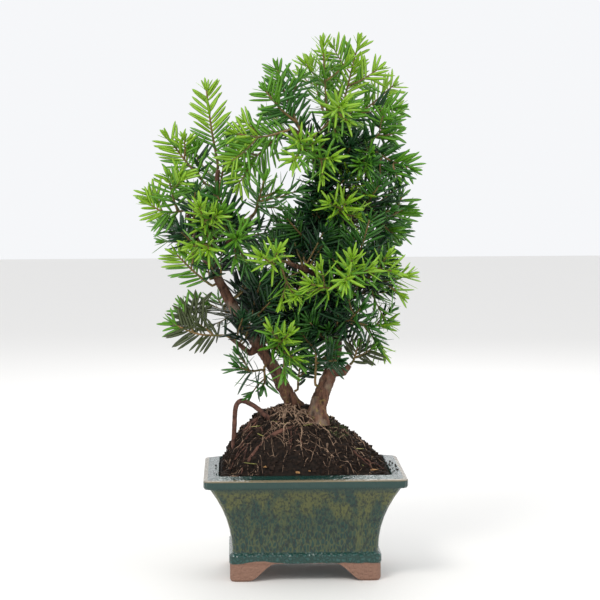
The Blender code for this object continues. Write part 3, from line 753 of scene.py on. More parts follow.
def grow_mass(name):
    limb_name, share, tips, sides, habit, tone = MASSES[name]
    rng = random.Random(name)
    tones = (TONE_OF_BODY[tone], TONE_OF_TIP[tone])
    start, outward = leave_limb(limbs[limb_name], share, tips[0])
    main = Shoot(bent_path(start, outward, Vector(tips[0]), MAIN_SAG, MAIN_POINTS), TWIG_ROOT,
                 TWIG_TIP, habit, tones, MAIN_LEAFY_FROM)
    shoots = [main]
    for tip in tips[1:]:
        root = main.limb.at(FORK_AT)[0]
        path = bent_path(root, (Vector(tip) - root).normalized(), Vector(tip), FORK_SAG, FORK_POINTS)
        shoots.append(Shoot(path, TWIG_ROOT * FORK_SLIM, TWIG_TIP, habit, tones))
    if name in LIME_ENDS:
        shoots[-1].tones = ("green", "lime")
    for twig in list(shoots):
        for k in range(sides):
            share = SIDE_FROM + SIDE_SPAN * (k + 0.5) / sides + rng.uniform(-SIDE_JITTER, SIDE_JITTER)
            roll = math.radians(rng.uniform(-SIDE_ROLL, SIDE_ROLL))
            angle = math.radians(SIDE_ANGLE + rng.uniform(-SIDE_SWAY, SIDE_SWAY))
            reach = max(SHORTEST_SIDE, twig.length * SIDE_SHARE * (SHORTENING - share))
            shoots.append(branch(twig, share, 1 if k % 2 else -1, angle, roll, reach, SIDE_POINTS,
                                 (SIDE_ROOT, SIDE_TIP), tones))
    return shoots


# %% [markdown]
# ## Finer twigs
# The CAD masses are coarse, and the living spray has a second order of twigs that makes it dense. A
# particle system could scatter them, but they should take turns left and right. The branching rule is
# used once more, for short and slim twigs on both sides. One is dropped if it ends well further left
# or right, or higher, than the twig that carries it. Its depth isn't limited, so a few reach forward
# and back past the CAD masses.

# %% Add finer twigs
FINE_STEP = 12.0
FINE_LENGTH = (18.0, 30.0)
CROWN_MIDDLE = -10.0
REACH_SPARE = 4.0
OUTER_SHARE = 0.52
FINE_FROM, FINE_SPAN = 0.24, 0.62
FINE_PLACES = (0.2, 0.8)
FINE_ROLL = 75
FINE_ANGLES = (38, 62)
FINE_FADE = 0.4
FINE_POINTS = 4
FINE_RADII = (0.6, 0.4)


def within_reach(end, tip):
    """Whether an end is at most REACH_SPARE further to the side, and higher, than its carrier's."""
    outward = abs(end.x - CROWN_MIDDLE) <= abs(tip.x - CROWN_MIDDLE) + REACH_SPARE
    return outward and end.z <= tip.z + REACH_SPARE


def finer_twigs(shoots, name, tone):
    """Finer twigs along every shoot of a mass, in darker tones on the inner half of each."""
    rng = random.Random(name + " finer")
    added = []
    for twig in shoots:
        count = int(twig.length * FINE_SPAN / FINE_STEP)
        for k in range(count):
            share = FINE_FROM + FINE_SPAN * (k + rng.uniform(*FINE_PLACES)) / count
            roll = math.radians(rng.uniform(-FINE_ROLL, FINE_ROLL))
            angle = math.radians(rng.uniform(*FINE_ANGLES))
            reach = rng.uniform(*FINE_LENGTH) * (SHORTENING - FINE_FADE * share)
            tones = (rng.choice((TONE_OF_BODY[tone], "deep")), TONE_OF_BODY[tone])
            if share > OUTER_SHARE:
                tones = twig.tones
            fine = branch(twig, share, 1 if k % 2 else -1, angle, roll, reach, FINE_POINTS,
                          FINE_RADII, tones)
            if within_reach(fine.path[-1], twig.path[-1]):
                added.append(fine)
    return added


grown = []
for name, row in MASSES.items():
    shoots = grow_mass(name)
    grown += shoots
    side_shoots, tone = row[3], row[5]
    if side_shoots:
        grown += finer_twigs(shoots, name, tone)
print("shoots on the masses:", len(grown))

# %% [markdown]
# ## Dark inside of the crown
# Between the bright sprays one looks mostly into shade. A dark block hidden in the middle would fill
# the gaps, but it would show from the side as a lump. Whole shoots in darker tones are grown there
# instead. Their near-black shade tone is painted shade, and their other tones are the greens of
# older needles. Each aims at a random spot of a box inside the crown, and starts at the skin of the
# limb that comes nearest to a place a little below that spot.

# %% Grow the inner shoots
INNER_SHOOTS = 260
# Centre and half-widths of a part of the inside, and its share of the shoots
INSIDE = [((40, 0, 268), (38, 40, 80), 0.26), ((-14, 0, 222), (40, 34, 54), 0.22),
          ((-76, 0, 262), (24, 30, 40), 0.08), ((20, -16, 240), (18, 12, 74), 0.16),
          ((-62, -14, 268), (16, 12, 30), 0.05), ((22, -6, 330), (30, 26, 34), 0.05),
          ((-16, -4, 196), (30, 26, 36), 0.18)]
INSIDE_SPREAD = 0.8
NEAREST_LIFT = Vector((0, 0, 14))
START_SHARES = [tenth / 10 for tenth in range(3, 10)]
INNER_SHORTEST, INNER_LONGEST = 16, 52.0
INNER_SAG = -1.0
INNER_POINTS = 6
INNER_RADII = (0.8, 0.5)
# The shade tone is painted shade: a near-black green for shoots deep inside the crown.
INNER_TONES = (("shade", "deep"), ("shade", "deep"), ("deep", "green"))


def nearest_start(target):
    """The limb, and the share along it, that a shoot to this spot would best start from."""
    starts = []
    for name in limbs:
        for share in START_SHARES:
            point = limbs[name].at(share)[0]
            starts.append(((point + NEAREST_LIFT - target).length, name, share))
    return min(starts)[1:]


def inner_shoots():
    rng = random.Random("inside")
    shoots = []
    for centre, half, part in INSIDE:
        for _ in range(round(INNER_SHOOTS * part)):
            target = Vector([c + h * rng.uniform(-INSIDE_SPREAD, INSIDE_SPREAD)
                             for c, h in zip(centre, half)])
            name, share = nearest_start(target)
            start, outward = leave_limb(limbs[name], share, target)
            way = target - start
            if way.length < INNER_SHORTEST:
                continue
            tip = start + way.normalized() * min(way.length, INNER_LONGEST)
            habit = rng.choice(("comb", "fan", "star"))
            tones = rng.choice(INNER_TONES)
            path = bent_path(start, outward, tip, INNER_SAG, INNER_POINTS)
            shoots.append(Shoot(path, *INNER_RADII, habit, tones))
    return shoots


inside_shoots = inner_shoots()
grown += inside_shoots
print("shoots inside the crown:", len(inside_shoots))

# %% [markdown]
# ## Colours of the needles
# New growth is lime here, older needles are dark green, and a few low sprays look drab. The near-black
# shade tone is painted shade, for shoots deep inside the crown. One material with a random colour would
# mix these anywhere. Six plain ones are dealt out by shoot and by place along it, so the tips light up
# as they do on the plant. All have the same soft gloss.

# %% Mix the needle tones
NEEDLE_GLOSS = 0.32
NEEDLE_TONES = {
    "lime": (0.245, 0.455, 0.024),
    "fresh": (0.105, 0.290, 0.018),
    "green": (0.038, 0.150, 0.016),
    "deep": (0.014, 0.062, 0.018),
    # Painted shade: nearly black, standing for the shade deep inside the crown.
    "shade": (0.005, 0.020, 0.010),
    "drab": (0.062, 0.082, 0.028),
}


def plain_material(name, colour, roughness):
    material = new_material(name, roughness, specular=0.5)
    surface_of(material).inputs["Base Color"].default_value = (*colour, 1.0)
    return material


needle_materials = {tone: plain_material("needle_" + tone, colour, NEEDLE_GLOSS)
                    for tone, colour in NEEDLE_TONES.items()}
print("needle tones:", ", ".join(NEEDLE_TONES))

# %% [markdown]
# ## Where the needles stand
# On a comb or fan the needles stand in two ranks, with loose ones on one face between them. On a star
# they go round by about the same angle each time, as leaves on many stems do. They could be placed by
# hand on one twig that is then copied, but the copies would show. Each is leaned, turned and sized a
# little on its own, and one that would run into a limb or down to the soil is left out.

# %% Keep needles clear of the limbs
LOWEST_NEEDLE = 126.0
PROBE_SHARES = (0.3, 0.6, 1.0)
NEEDLE_GAP = 0.7
limb_starts = np.array([tuple(p) for limb in limbs.values() for p in limb.path[:-1]])
limb_ends = np.array([tuple(p) for limb in limbs.values() for p in limb.path[1:]])
limb_radii = np.array([r for limb in limbs.values() for r in limb.radii[:-1]])


def clear_of_limbs(foot, way, length):
    points = np.array([tuple(foot + way * length * share) for share in PROBE_SHARES])
    along = limb_ends - limb_starts
    to_point = points[:, None, :] - limb_starts[None, :, :]
    share = np.einsum("pij,ij->pi", to_point, along) / np.einsum("ij,ij->i", along, along)
    nearest = limb_starts + np.clip(share, 0.0, 1.0)[:, :, None] * along
    gap = np.linalg.norm(points[:, None, :] - nearest, axis=2) - limb_radii
    return gap.min() > NEEDLE_GAP and points[:, 2].min() > LOWEST_NEEDLE


# %% Choose how each needle stands
NEEDLE_LENGTH = 21.5
NEEDLE_WIDTH = 2.3
NEEDLE_STEP = 1.45
NEEDLE_LEAN = (68.0, 40.0)
LOOSE_NEEDLES = 0.28
STAR_TURN = 137.5
END_NEEDLES = 5
END_LEAN = (6, 38)
END_STEP, END_SWAY = 72, 25
END_SHORTER = 0.72
LEAN_SWAY = 5
STAR_SWAY = 12
RANK_SWAY = 13
LOOSE_ARC = (20, 160)
FACE_SWAY = 0.25


def needle_stance(shoot, rng, k, steps, share):
    """Angles in radians of one needle: away from the twig, and round it."""
    lean = NEEDLE_LEAN[0] + (NEEDLE_LEAN[1] - NEEDLE_LEAN[0]) * share + rng.gauss(0, LEAN_SWAY)
    if shoot.habit == "star":
        around = math.radians(STAR_TURN * k + rng.uniform(-STAR_SWAY, STAR_SWAY))
    elif rng.random() < LOOSE_NEEDLES:
        around = math.radians(rng.uniform(*LOOSE_ARC))
    else:
        around = math.radians((0 if k % 2 else 180) + rng.gauss(0, RANK_SWAY))
    if k >= steps:
        lean = rng.uniform(*END_LEAN)
        around = math.radians(END_STEP * (k - steps) + rng.uniform(-END_SWAY, END_SWAY))
    return math.radians(lean), around


# %% Lay out the needles of every shoot
DRAB_TIP_FROM, TIP_FROM = (0.82, 0.92), (0.45, 0.75)
SHOOT_SIZES = (0.88, 1.05)
NEEDLE_SIZES = (0.86, 1.05)
WIDTH_SIZES = (0.85, 1.1)
SHORT_SHOOT = 0.75
FULL_SHOOT = 120.0
TIP_SHORTER = 0.32
FOOT_SHORTER, FOOT_GROWTH = 0.72, 0.28
FOOT_NEEDLES = 4
FOOT_DEPTH = 0.6
BEND, BEND_SWAY, SICKLE_SWAY = -0.05, 0.06, 0.05
FEWEST_NEEDLES = 5

needle_rows = {tone: [] for tone in NEEDLE_TONES}


def dress(shoot, rng):
    """Lay the needles of one shoot out in rows: foot, way, face, length and bend."""
    steps = max(FEWEST_NEEDLES, round(shoot.length * (1 - shoot.leafy_from) / NEEDLE_STEP))
    tip_from = rng.uniform(*(DRAB_TIP_FROM if shoot.tones[0] == "drab" else TIP_FROM))
    size = rng.uniform(*SHOOT_SIZES) * min(1.0, SHORT_SHOOT + shoot.length / FULL_SHOOT)
    for k in range(steps + END_NEEDLES):
        at_tip = k >= steps
        share = 1.0 if at_tip else shoot.leafy_from + (1 - shoot.leafy_from) * k / steps
        point, tangent, radius = shoot.limb.at(share)
        across = sideways(tangent, shoot.habit)
        up = tangent.cross(across)
        lean, around = needle_stance(shoot, rng, k, steps, share)
        out = across * math.cos(around) + up * math.sin(around)
        way = tangent * math.cos(lean) + out * math.sin(lean)
        if shoot.habit == "star" or at_tip:
            face = tangent
        else:
            face = up + out * rng.gauss(0, FACE_SWAY) + tangent * FACE_SWAY
        side = way.cross(face).normalized()
        face = side.cross(way).normalized()
        length = NEEDLE_LENGTH * size * (1.0 - TIP_SHORTER * share ** 3) * rng.uniform(*NEEDLE_SIZES)
        length *= FOOT_SHORTER + FOOT_GROWTH * min(1.0, k / FOOT_NEEDLES)
        if at_tip:
            length *= END_SHORTER
        foot = point + out * radius * FOOT_DEPTH
        if not clear_of_limbs(foot, way, length):
            continue
        tone = shoot.tones[1] if share > tip_from else shoot.tones[0]
        width = NEEDLE_WIDTH * rng.uniform(*WIDTH_SIZES)
        needle_rows[tone].append((*foot, *way, *face, length, width,
                                  rng.gauss(BEND, BEND_SWAY), rng.gauss(0, SICKLE_SWAY)))


rng = random.Random("needles")
for shoot in grown:
    dress(shoot, rng)
for tone, rows in needle_rows.items():
    print(tone, "needles:", len(rows))

# %% [markdown]
# ## The blade of a needle
# A yew needle is a flat, slightly sickle-shaped blade with a raised midrib and a short point. A flat
# card with a cut-out would be lighter, but it has no edge and no thickness. Seven small rings of four
# points give a closed blade with 26 faces, which is few enough for thousands of them. All needles of
# a tone are worked out at once with arrays, without a loop over each point.

# %% Shape the blades
BLADE_STATIONS = (0.0, 0.05, 0.22, 0.50, 0.78, 0.93, 1.0)
BLADE_WIDTHS = (0.30, 0.62, 0.94, 1.0, 0.86, 0.50, 0.06)
RIB_HEIGHT = 0.28
BLADE_DEPTH = 0.16


def blade_mesh(rows):
    """Points and quads of all the needles of one tone."""
    rows = np.array(rows)
    foot, way, face = rows[:, 0:3], rows[:, 3:6], rows[:, 6:9]
    length, width, bend, sickle = rows[:, 9], rows[:, 10], rows[:, 11], rows[:, 12]
    side = np.cross(way, face)
    rings = []
    for station, share in zip(BLADE_STATIONS, BLADE_WIDTHS):
        middle = (foot + way * (length * station)[:, None]
                  + face * (length * bend * station ** 2)[:, None]
                  + side * (length * sickle * station ** 2)[:, None])
        half = side * (width * share / 2)[:, None]
        rib = face * RIB_HEIGHT * share
        keel = face * BLADE_DEPTH * share
        rings.append(np.stack((middle + half, middle - keel, middle - half, middle + rib), axis=1))
    points = np.concatenate(rings, axis=1)
    template = np.array(ring_quads(len(BLADE_STATIONS), 4))
    per_needle = 4 * len(BLADE_STATIONS)
    starts = np.arange(len(rows)) * per_needle
    quads = (template[None, :, :] + starts[:, None, None]).reshape(-1, 4)
    return points.reshape(-1, 3), quads


# %% Make the needles, one piece for each tone
MOST_NEEDLES = 3200

mass_nodes = list(MASSES)
for tone, rows in needle_rows.items():
    for first in range(0, len(rows), MOST_NEEDLES):
        heap = Heap()
        heap.add(*blade_mesh(rows[first:first + MOST_NEEDLES]))
        heap.make(f"needles_{tone}_{first // MOST_NEEDLES}", needle_materials[tone],
                  mass_nodes)

# %% [markdown]
# ## Twigs
# The young twigs are olive to reddish brown, and they show between the needles. They could be left out
# where needles hide them, but then needles would float where a gap opens. Every shoot gets a slim
# six-sided tube, in a grained finish that mixes both colours.

# %% A finish with a simple grain
GRAIN_DARKEST, GRAIN_LIGHTEST = 0.35, 0.65
GRAIN_DETAIL = 5.0
GRAIN_BUMP = 0.7
GRAIN_SPECULAR = 0.3


def grained_material(name, dark, light, scale, roughness=0.8, bump=0.0004):
    material = new_material(name, roughness, GRAIN_SPECULAR)
    graph = Graph(material)
    grain = graph.noise(scale, GRAIN_DETAIL)
    graph.colour(graph.mix(graph.between(grain, GRAIN_DARKEST, GRAIN_LIGHTEST), dark, light))
    graph.bump(grain, bump, GRAIN_BUMP)
    return material


# %% Make the twigs
TWIG_STEP = 3.0
TWIG_SIDES = 6

young_twig = grained_material("young_twig", (0.10, 0.095, 0.030), (0.25, 0.15, 0.060), scale=160.0,
                              roughness=0.6)
twigs = Heap()
for shoot in grown:
    path, radii = refine(shoot.path, shoot.limb.radii, TWIG_STEP)
    add_tube(twigs, path, radii, TWIG_SIDES)
twigs.make("twigs", young_twig, mass_nodes)

# %% [markdown]
# ## Mound of soil
# The soil rises from the rim to the stems, steeper on one side than on the other. It could be sculpted,
# but a formula gives the height over any place, and that is what crumbs, roots and litter ask for
# later. The first function is the CAD soil's own dome. The second adds lumps of three sizes, less
# near the rim. A fine grid of these heights is closed by a flat underside.

# %% Heights of the soil
RIM_HALF = (75.0, 60.0)
LIP_WIDTH = 11.6
SOIL_EDGE = 79.0
MOUND_HEIGHT = 45.0
MOUND_CENTRE = (-7.0, 6.0)
MOUND_POWER = 2.1
MOUND_LEAN = 0.5
MOUND_SQUARE = 2.4
SOIL_HALF_X = RIM_HALF[0] - LIP_WIDTH
SOIL_HALF_Y = RIM_HALF[1] - LIP_WIDTH
LEAN_WIDTH = 20.0
CALM_EDGE = 6.0
LEAST_ROUGH = 0.25
# Height of the lumps, their scale and the layer of noise they come from
SOIL_LUMPS = [(3.6, 0.11, 3.0), (2.2, 0.42, 7.0), (0.9, 1.3, 1.0)]


def mound(x, y):
    """Height of the CAD soil over one place."""
    cx, cy = MOUND_CENTRE
    across = abs(x - cx) / (SOIL_HALF_X - math.copysign(1, x - cx) * cx)
    deep = abs(y - cy) / (SOIL_HALF_Y - math.copysign(1, y - cy) * cy)
    out = min(1.0, (across ** MOUND_SQUARE + deep ** MOUND_SQUARE) ** (1 / MOUND_SQUARE))
    power = MOUND_POWER - MOUND_LEAN * math.tanh((x - cx) / LEAN_WIDTH)
    return SOIL_EDGE + MOUND_HEIGHT * (1 - out ** power)


def rough_mound(x, y):
    """The same height with lumps, calmer towards the rim."""
    rough = sum(height * noise.noise(Vector((x * scale, y * scale, layer)))
                for height, scale, layer in SOIL_LUMPS)
    edge = min(SOIL_HALF_X - abs(x), SOIL_HALF_Y - abs(y)) / CALM_EDGE
    return mound(x, y) + rough * min(1.0, max(LEAST_ROUGH, edge))


print("top of the soil:", round(mound(*MOUND_CENTRE), 1), "mm")

# %% Make the mound
SOIL_GAP = 0.6
SOIL_THICK = 16.0
SOIL_COLUMNS, SOIL_ROWS = 128, 98

earth = grained_material("earth", (0.003, 0.002, 0.0015), (0.020, 0.012, 0.008), scale=330.0,
                         roughness=0.95, bump=0.0012)


def soil_points():
    """The rough top, and then a flat underside with the same columns and rows."""
    half_x = SOIL_HALF_X - SOIL_GAP
    half_y = SOIL_HALF_Y - SOIL_GAP
    points = []
    for on_top in (True, False):
        for j in range(SOIL_ROWS + 1):
            for i in range(SOIL_COLUMNS + 1):
                x = -half_x + 2 * half_x * i / SOIL_COLUMNS
                y = -half_y + 2 * half_y * j / SOIL_ROWS
                points.append((x, y, rough_mound(x, y) if on_top else SOIL_EDGE - SOIL_THICK))
    return points


def soil_quads():
    quads = []
    wide = SOIL_COLUMNS + 1
    under = wide * (SOIL_ROWS + 1)
    for j in range(SOIL_ROWS):
        for i in range(SOIL_COLUMNS):
            a = j * wide + i
            quads.append((a, a + 1, a + 1 + wide, a + wide))
            quads.append((under + a, under + a + wide, under + a + 1 + wide, under + a + 1))
    rim = [(i, i + 1) for i in range(SOIL_COLUMNS)]
    rim += [(SOIL_COLUMNS + j * wide, SOIL_COLUMNS + (j + 1) * wide) for j in range(SOIL_ROWS)]
    rim += [(SOIL_ROWS * wide + i + 1, SOIL_ROWS * wide + i) for i in range(SOIL_COLUMNS)]
    rim += [((j + 1) * wide, j * wide) for j in range(SOIL_ROWS)]
    for a, b in rim:
        quads.append((a, a + under, b + under, b))
    return quads


soil_heap = Heap()
soil_heap.add(soil_points(), soil_quads())
soil_heap.make("soil_mound", earth, ["soil"])

# %% [markdown]
# ## Crumbs
# Potting soil breaks up into crumbs of all sizes, and a few have rolled onto the lip of the pot. A bump
# alone would look like leather, because the edge of the mound would stay smooth. So thousands of small
# lumps lie on it. Each is a box with its corners pushed in or out, shaded flat, because at this size
# more faces would hardly show.

# %% Make the crumbs
BOX_FACES = [(0, 3, 2, 1), (4, 5, 6, 7), (0, 1, 5, 4), (1, 2, 6, 5), (2, 3, 7, 6), (3, 0, 4, 7)]
BOX_CORNERS = ((-1, -1), (1, -1), (1, 1), (-1, 1))
CORNER_PUSH = (0.55, 1.15)
CRUMB_WIDE, CRUMB_HIGH = 0.6, 0.5
CRUMBS = 5200
CRUMB_SIZES = (0.7, 0.9, 1.2, 1.6, 2.4)
CRUMB_STAND = 0.15
EDGE_SPARE = 2
CRUMB_SWAY = (0.8, 1.2)
CRUMB_SPREAD = 0.99
LIP_CRUMBS = 26
LIP_SIDES = (-1, 1, 1)
LIP_EDGE_SPARE = 4.5
LIP_STRETCH = (-38, 20)
LIP_CRUMB_SIZES, LIP_CRUMB_STAND = (0.5, 1.1), 0.35
LIP_HEIGHT, LIP_SLOPE = 80.4, 0.21

crumb = grained_material("crumb", (0.004, 0.0025, 0.002), (0.036, 0.021, 0.014), scale=420.0,
                         roughness=0.95)


def on_soil(rng, spread):
    """A random place on the soil, in the given share of its width."""
    x = rng.uniform(-1, 1) * (SOIL_HALF_X - EDGE_SPARE) * spread
    y = rng.uniform(-1, 1) * (SOIL_HALF_Y - EDGE_SPARE) * spread
    return x, y


def add_crumb(heap, centre, size, rng):
    """A lump with eight corners, each pushed in or out."""
    points = []
    for z in (-1, 1):
        for x, y in BOX_CORNERS:
            push = rng.uniform(*CORNER_PUSH) * size
            points.append((centre[0] + x * push * CRUMB_WIDE, centre[1] + y * push * CRUMB_WIDE,
                           centre[2] + z * push * CRUMB_HIGH))
    heap.add(points, BOX_FACES)


def make_crumbs():
    rng = random.Random("crumbs")
    heap = Heap()
    for _ in range(CRUMBS):
        x, y = on_soil(rng, CRUMB_SPREAD)
        size = rng.choice(CRUMB_SIZES) * rng.uniform(*CRUMB_SWAY)
        add_crumb(heap, (x, y, rough_mound(x, y) + size * CRUMB_STAND), size, rng)
    for _ in range(LIP_CRUMBS):
        side = rng.choice(LIP_SIDES)
        x = side * rng.uniform(RIM_HALF[0] - LIP_WIDTH, RIM_HALF[0] - LIP_EDGE_SPARE)
        y = rng.uniform(*LIP_STRETCH)
        lip = LIP_HEIGHT - (abs(x) - RIM_HALF[0] + LIP_WIDTH) * LIP_SLOPE
        add_crumb(heap, (x, y, lip + LIP_CRUMB_STAND), rng.uniform(*LIP_CRUMB_SIZES), rng)
    heap.make("soil_crumbs", crumb, smooth=False)


make_crumbs()

# %% [markdown]
# ## Roots that show
# One root leaves the soil in an arch and goes back in, and two more run down the mound. They could be
# given plain heights, but then a change to the mound could bury them. Their points are set by their
# height over the soil, as in the CAD model, and they wear the same relief as the bark, only less.

# %% Make the roots
ROOT_POINTS = 48
ROOT_SIDES = 14
ROOT_BARK_DEPTH = 0.10
# Places with their height over the soil, radius at the root and at the tip
ROOTS = {
    "root_arch": (
        [(-53, -9, -4), (-52, -10, 16), (-51, -12, 29), (-48, -12, 30),
         (-43, -12, 24), (-36, -12, 14), (-29, -12, 4), (-23, -11, -4)], 1.7, 1.9),
    "root_front": ([(-8, -22, -1), (-20, -27, 0.5), (-33, -31, 0.5), (-46, -34, -1)], 1.9, 1.1),
    "root_side": ([(-14, -3, -1), (-27, -4, 0.5), (-39, -5, 0.5), (-49, -6, -1)], 2.1, 1.2),
}

root_bark = grained_material("root_bark", (0.035, 0.016, 0.012), (0.165, 0.075, 0.052),
                             scale=260.0)
for name, (places, root_radius, tip_radius) in ROOTS.items():
    path = smooth_path([(x, y, mound(x, y) + over) for x, y, over in places], ROOT_POINTS)
    heap = Heap()
    add_tube(heap, path, tapered(path, root_radius, tip_radius), ROOT_SIDES, None,
             bark_relief(ROOT_BARK_DEPTH, 0.0))
    heap.make(name + "_bark", root_bark, [name])

# %% [markdown]
# ## Fibres and thin roots
# The mound is bound together by pale fibres, thickest round the foot of the stems, and by thin brown
# roots. A hair system could grow them, but it would need combing to lie on the soil. Here each one
# wanders: it takes a step, turns a little at random and takes the next, always at the height of the
# soil below, and arches up between its ends.

# %% Let a fibre wander
WANDER_TURN = 0.35
STRAY_LIMITS = (60, 46)
OVER_SOIL = 0.1
FEWEST_STEPS = 4


def wander(rng, x, y, turn, length, step, lift):
    """A path that strays over the soil."""
    path = []
    limit_x, limit_y = STRAY_LIMITS
    steps = max(FEWEST_STEPS, round(length / step))
    for k in range(steps):
        arc = math.sin(math.pi * k / (steps - 1))
        path.append(Vector((x, y, rough_mound(x, y) + OVER_SOIL + lift * arc)))
        turn += rng.gauss(0, WANDER_TURN)
        x = min(max(x + math.cos(turn) * step, -limit_x), limit_x)
        y = min(max(y + math.sin(turn) * step, -limit_y), limit_y)
    return path


# %% Make the fibres and the thin roots
LOOSE_FIBRES, FOOT_FIBRES, THIN_ROOTS = 420, 55, 26
FIBRE_STEP, THIN_ROOT_STEP = 2.2, 2.6
FIBRE_RADII, FOOT_FIBRE_RADII, THIN_ROOT_RADII = (0.14, 0.18, 0.22, 0.35), (0.25, 0.55), (0.45, 0.85)
FIBRE_LENGTHS, FOOT_FIBRE_LENGTHS, THIN_ROOT_LENGTHS = (6, 22), (8, 22), (16, 40)
FIBRE_ARCH, FOOT_FIBRE_ARCH, THIN_ROOT_ARCH = (0.2, 2.6), (1.5, 5.0), (0.4, 2.0)
FIBRE_SPREAD, THIN_ROOT_SPREAD = 0.9, 0.7
FIBRE_STRAY, THIN_ROOT_STRAY = 1.7, 0.6
FIBRE_TAPER, THIN_ROOT_TAPER = 0.5, 0.45
FIBRE_SIDES, ROUND_SIDES = 4, 6
FOOT_PLACE, FOOT_SPREAD = (-7, -10), (10, 6)

fibre = grained_material("fibre", (0.11, 0.060, 0.040), (0.50, 0.34, 0.23), scale=300.0, bump=0.0002)


def make_fibres(rng):
    heap = Heap()
    for _ in range(LOOSE_FIBRES):
        x, y = on_soil(rng, FIBRE_SPREAD)
        turn = math.atan2(y, x) + rng.gauss(0, FIBRE_STRAY)
        path = wander(rng, x, y, turn, rng.uniform(*FIBRE_LENGTHS), FIBRE_STEP,
                      rng.uniform(*FIBRE_ARCH))
        radius = rng.choice(FIBRE_RADII)
        add_tube(heap, path, tapered(path, radius, radius * FIBRE_TAPER), FIBRE_SIDES)
    for _ in range(FOOT_FIBRES):
        x = rng.gauss(FOOT_PLACE[0], FOOT_SPREAD[0])
        y = rng.gauss(FOOT_PLACE[1], FOOT_SPREAD[1])
        path = wander(rng, x, y, rng.uniform(0, 2 * math.pi), rng.uniform(*FOOT_FIBRE_LENGTHS),
                      FIBRE_STEP, rng.uniform(*FOOT_FIBRE_ARCH))
        radius = rng.uniform(*FOOT_FIBRE_RADII)
        add_tube(heap, path, tapered(path, radius, radius * FIBRE_TAPER), ROUND_SIDES)
    heap.make("root_fibres", fibre)


def make_thin_roots(rng):
    heap = Heap()
    for _ in range(THIN_ROOTS):
        x, y = on_soil(rng, THIN_ROOT_SPREAD)
        turn = math.atan2(y, x) + rng.gauss(0, THIN_ROOT_STRAY)
        path = wander(rng, x, y, turn, rng.uniform(*THIN_ROOT_LENGTHS), THIN_ROOT_STEP,
                      rng.uniform(*THIN_ROOT_ARCH))
        radius = rng.uniform(*THIN_ROOT_RADII)
        add_tube(heap, path, tapered(path, radius, radius * THIN_ROOT_TAPER), ROUND_SIDES)
    heap.make("surface_roots", root_bark)


fibre_draws = random.Random("fibres")
make_fibres(fibre_draws)
make_thin_roots(fibre_draws)

# %% [markdown]
# ## Litter
# A few needles have fallen and turned straw yellow, and flakes of orange bark lie about. Each could be
# modelled on its own, but the blade of the living needle serves again, lying down, shorter and in
# another finish. A flake is a thin lozenge with its corners moved a little.

# %% Make the fallen needles
LITTER_OVER = 1.0
FALLEN_NEEDLES = 15
FALLEN_LENGTHS = (7, 13)
FALLEN_WIDTH, FALLEN_BEND = 1.6, 0.05
FALLEN_SPREAD, FALLEN_TILT = 0.85, (-0.2, 0.4)

straw = grained_material("straw", (0.20, 0.21, 0.05), (0.45, 0.42, 0.14), scale=300.0,
                         roughness=0.6, bump=0.0001)
litter_draws = random.Random("litter")


def make_fallen_needles(rng):
    rows = []
    for _ in range(FALLEN_NEEDLES):
        x, y = on_soil(rng, FALLEN_SPREAD)
        turn = rng.uniform(0, 2 * math.pi)
        way = Vector((math.cos(turn), math.sin(turn), rng.uniform(*FALLEN_TILT))).normalized()
        side = way.cross(UP).normalized()
        face = side.cross(way)
        rows.append((x, y, rough_mound(x, y) + LITTER_OVER, *way, *face,
                     rng.uniform(*FALLEN_LENGTHS), FALLEN_WIDTH, FALLEN_BEND, FALLEN_BEND))
    heap = Heap()
    heap.add(*blade_mesh(rows))
    heap.make("fallen_needles", straw)


make_fallen_needles(litter_draws)

# %% Make the bark chips
CHIP_THICK = 0.6
CHIP_WAIST = 0.35
CHIP_SWAY = 0.5
# Place on the soil and half-length
BARK_CHIPS = [(50, -30, 5.0), (44, -42, 3.0), (-6, -47, 2.6), (3, -46, 2.4), (-30, -42, 3.2),
              (26, -40, 2.2), (-48, 10, 2.8), (30, 30, 3.0), (-10, 42, 3.5)]

chip = grained_material("chip", (0.30, 0.14, 0.05), (0.50, 0.29, 0.12), scale=500.0, roughness=0.7,
                        bump=0.0002)


def make_bark_chips(rng):
    heap = Heap()
    for x, y, size in BARK_CHIPS:
        z = rough_mound(x, y) + LITTER_OVER
        turn = rng.uniform(0, math.pi)
        c, s = math.cos(turn) * size, math.sin(turn) * size
        corners = [(x - c, y - s), (x + s * CHIP_WAIST, y - c * CHIP_WAIST), (x + c, y + s),
                   (x - s * CHIP_WAIST, y + c * CHIP_WAIST)]
        points = [(px, py, z + dz + rng.uniform(-CHIP_SWAY, CHIP_SWAY)) for dz in (0.0, CHIP_THICK)
                  for px, py in corners]
        heap.add(points, BOX_FACES)
    heap.make("bark_chips", chip, smooth=False)


make_bark_chips(litter_draws)

# %% [markdown]
# ## Moss
# A cushion of dull green moss grows to the right of the stems. Single moss leaves would need many
# faces and hardly show. The crumb is used again, smaller and in moss green, and scattered evenly over
# an oval, with the square root of a random number so that the middle isn't crowded.

# %% Make the moss
MOSS_LUMPS = 620
MOSS_CENTRE, MOSS_HALF = (24, -6), (11, 13)
MOSS_STAND, MOSS_SIZES = (0.2, 1.3), (0.4, 0.9)

moss = grained_material("moss", (0.020, 0.035, 0.012), (0.090, 0.110, 0.040), scale=500.0,
                        roughness=0.9)


def make_moss():
    rng = random.Random("moss")
    heap = Heap()
    for _ in range(MOSS_LUMPS):
        angle = rng.uniform(0, 2 * math.pi)
        out = math.sqrt(rng.random())
        x = MOSS_CENTRE[0] + MOSS_HALF[0] * out * math.cos(angle)
        y = MOSS_CENTRE[1] + MOSS_HALF[1] * out * math.sin(angle)
        z = rough_mound(x, y) + rng.uniform(*MOSS_STAND)
        add_crumb(heap, (x, y, z), rng.uniform(*MOSS_SIZES), rng)
    heap.make("moss_patch", moss, smooth=False)


make_moss()

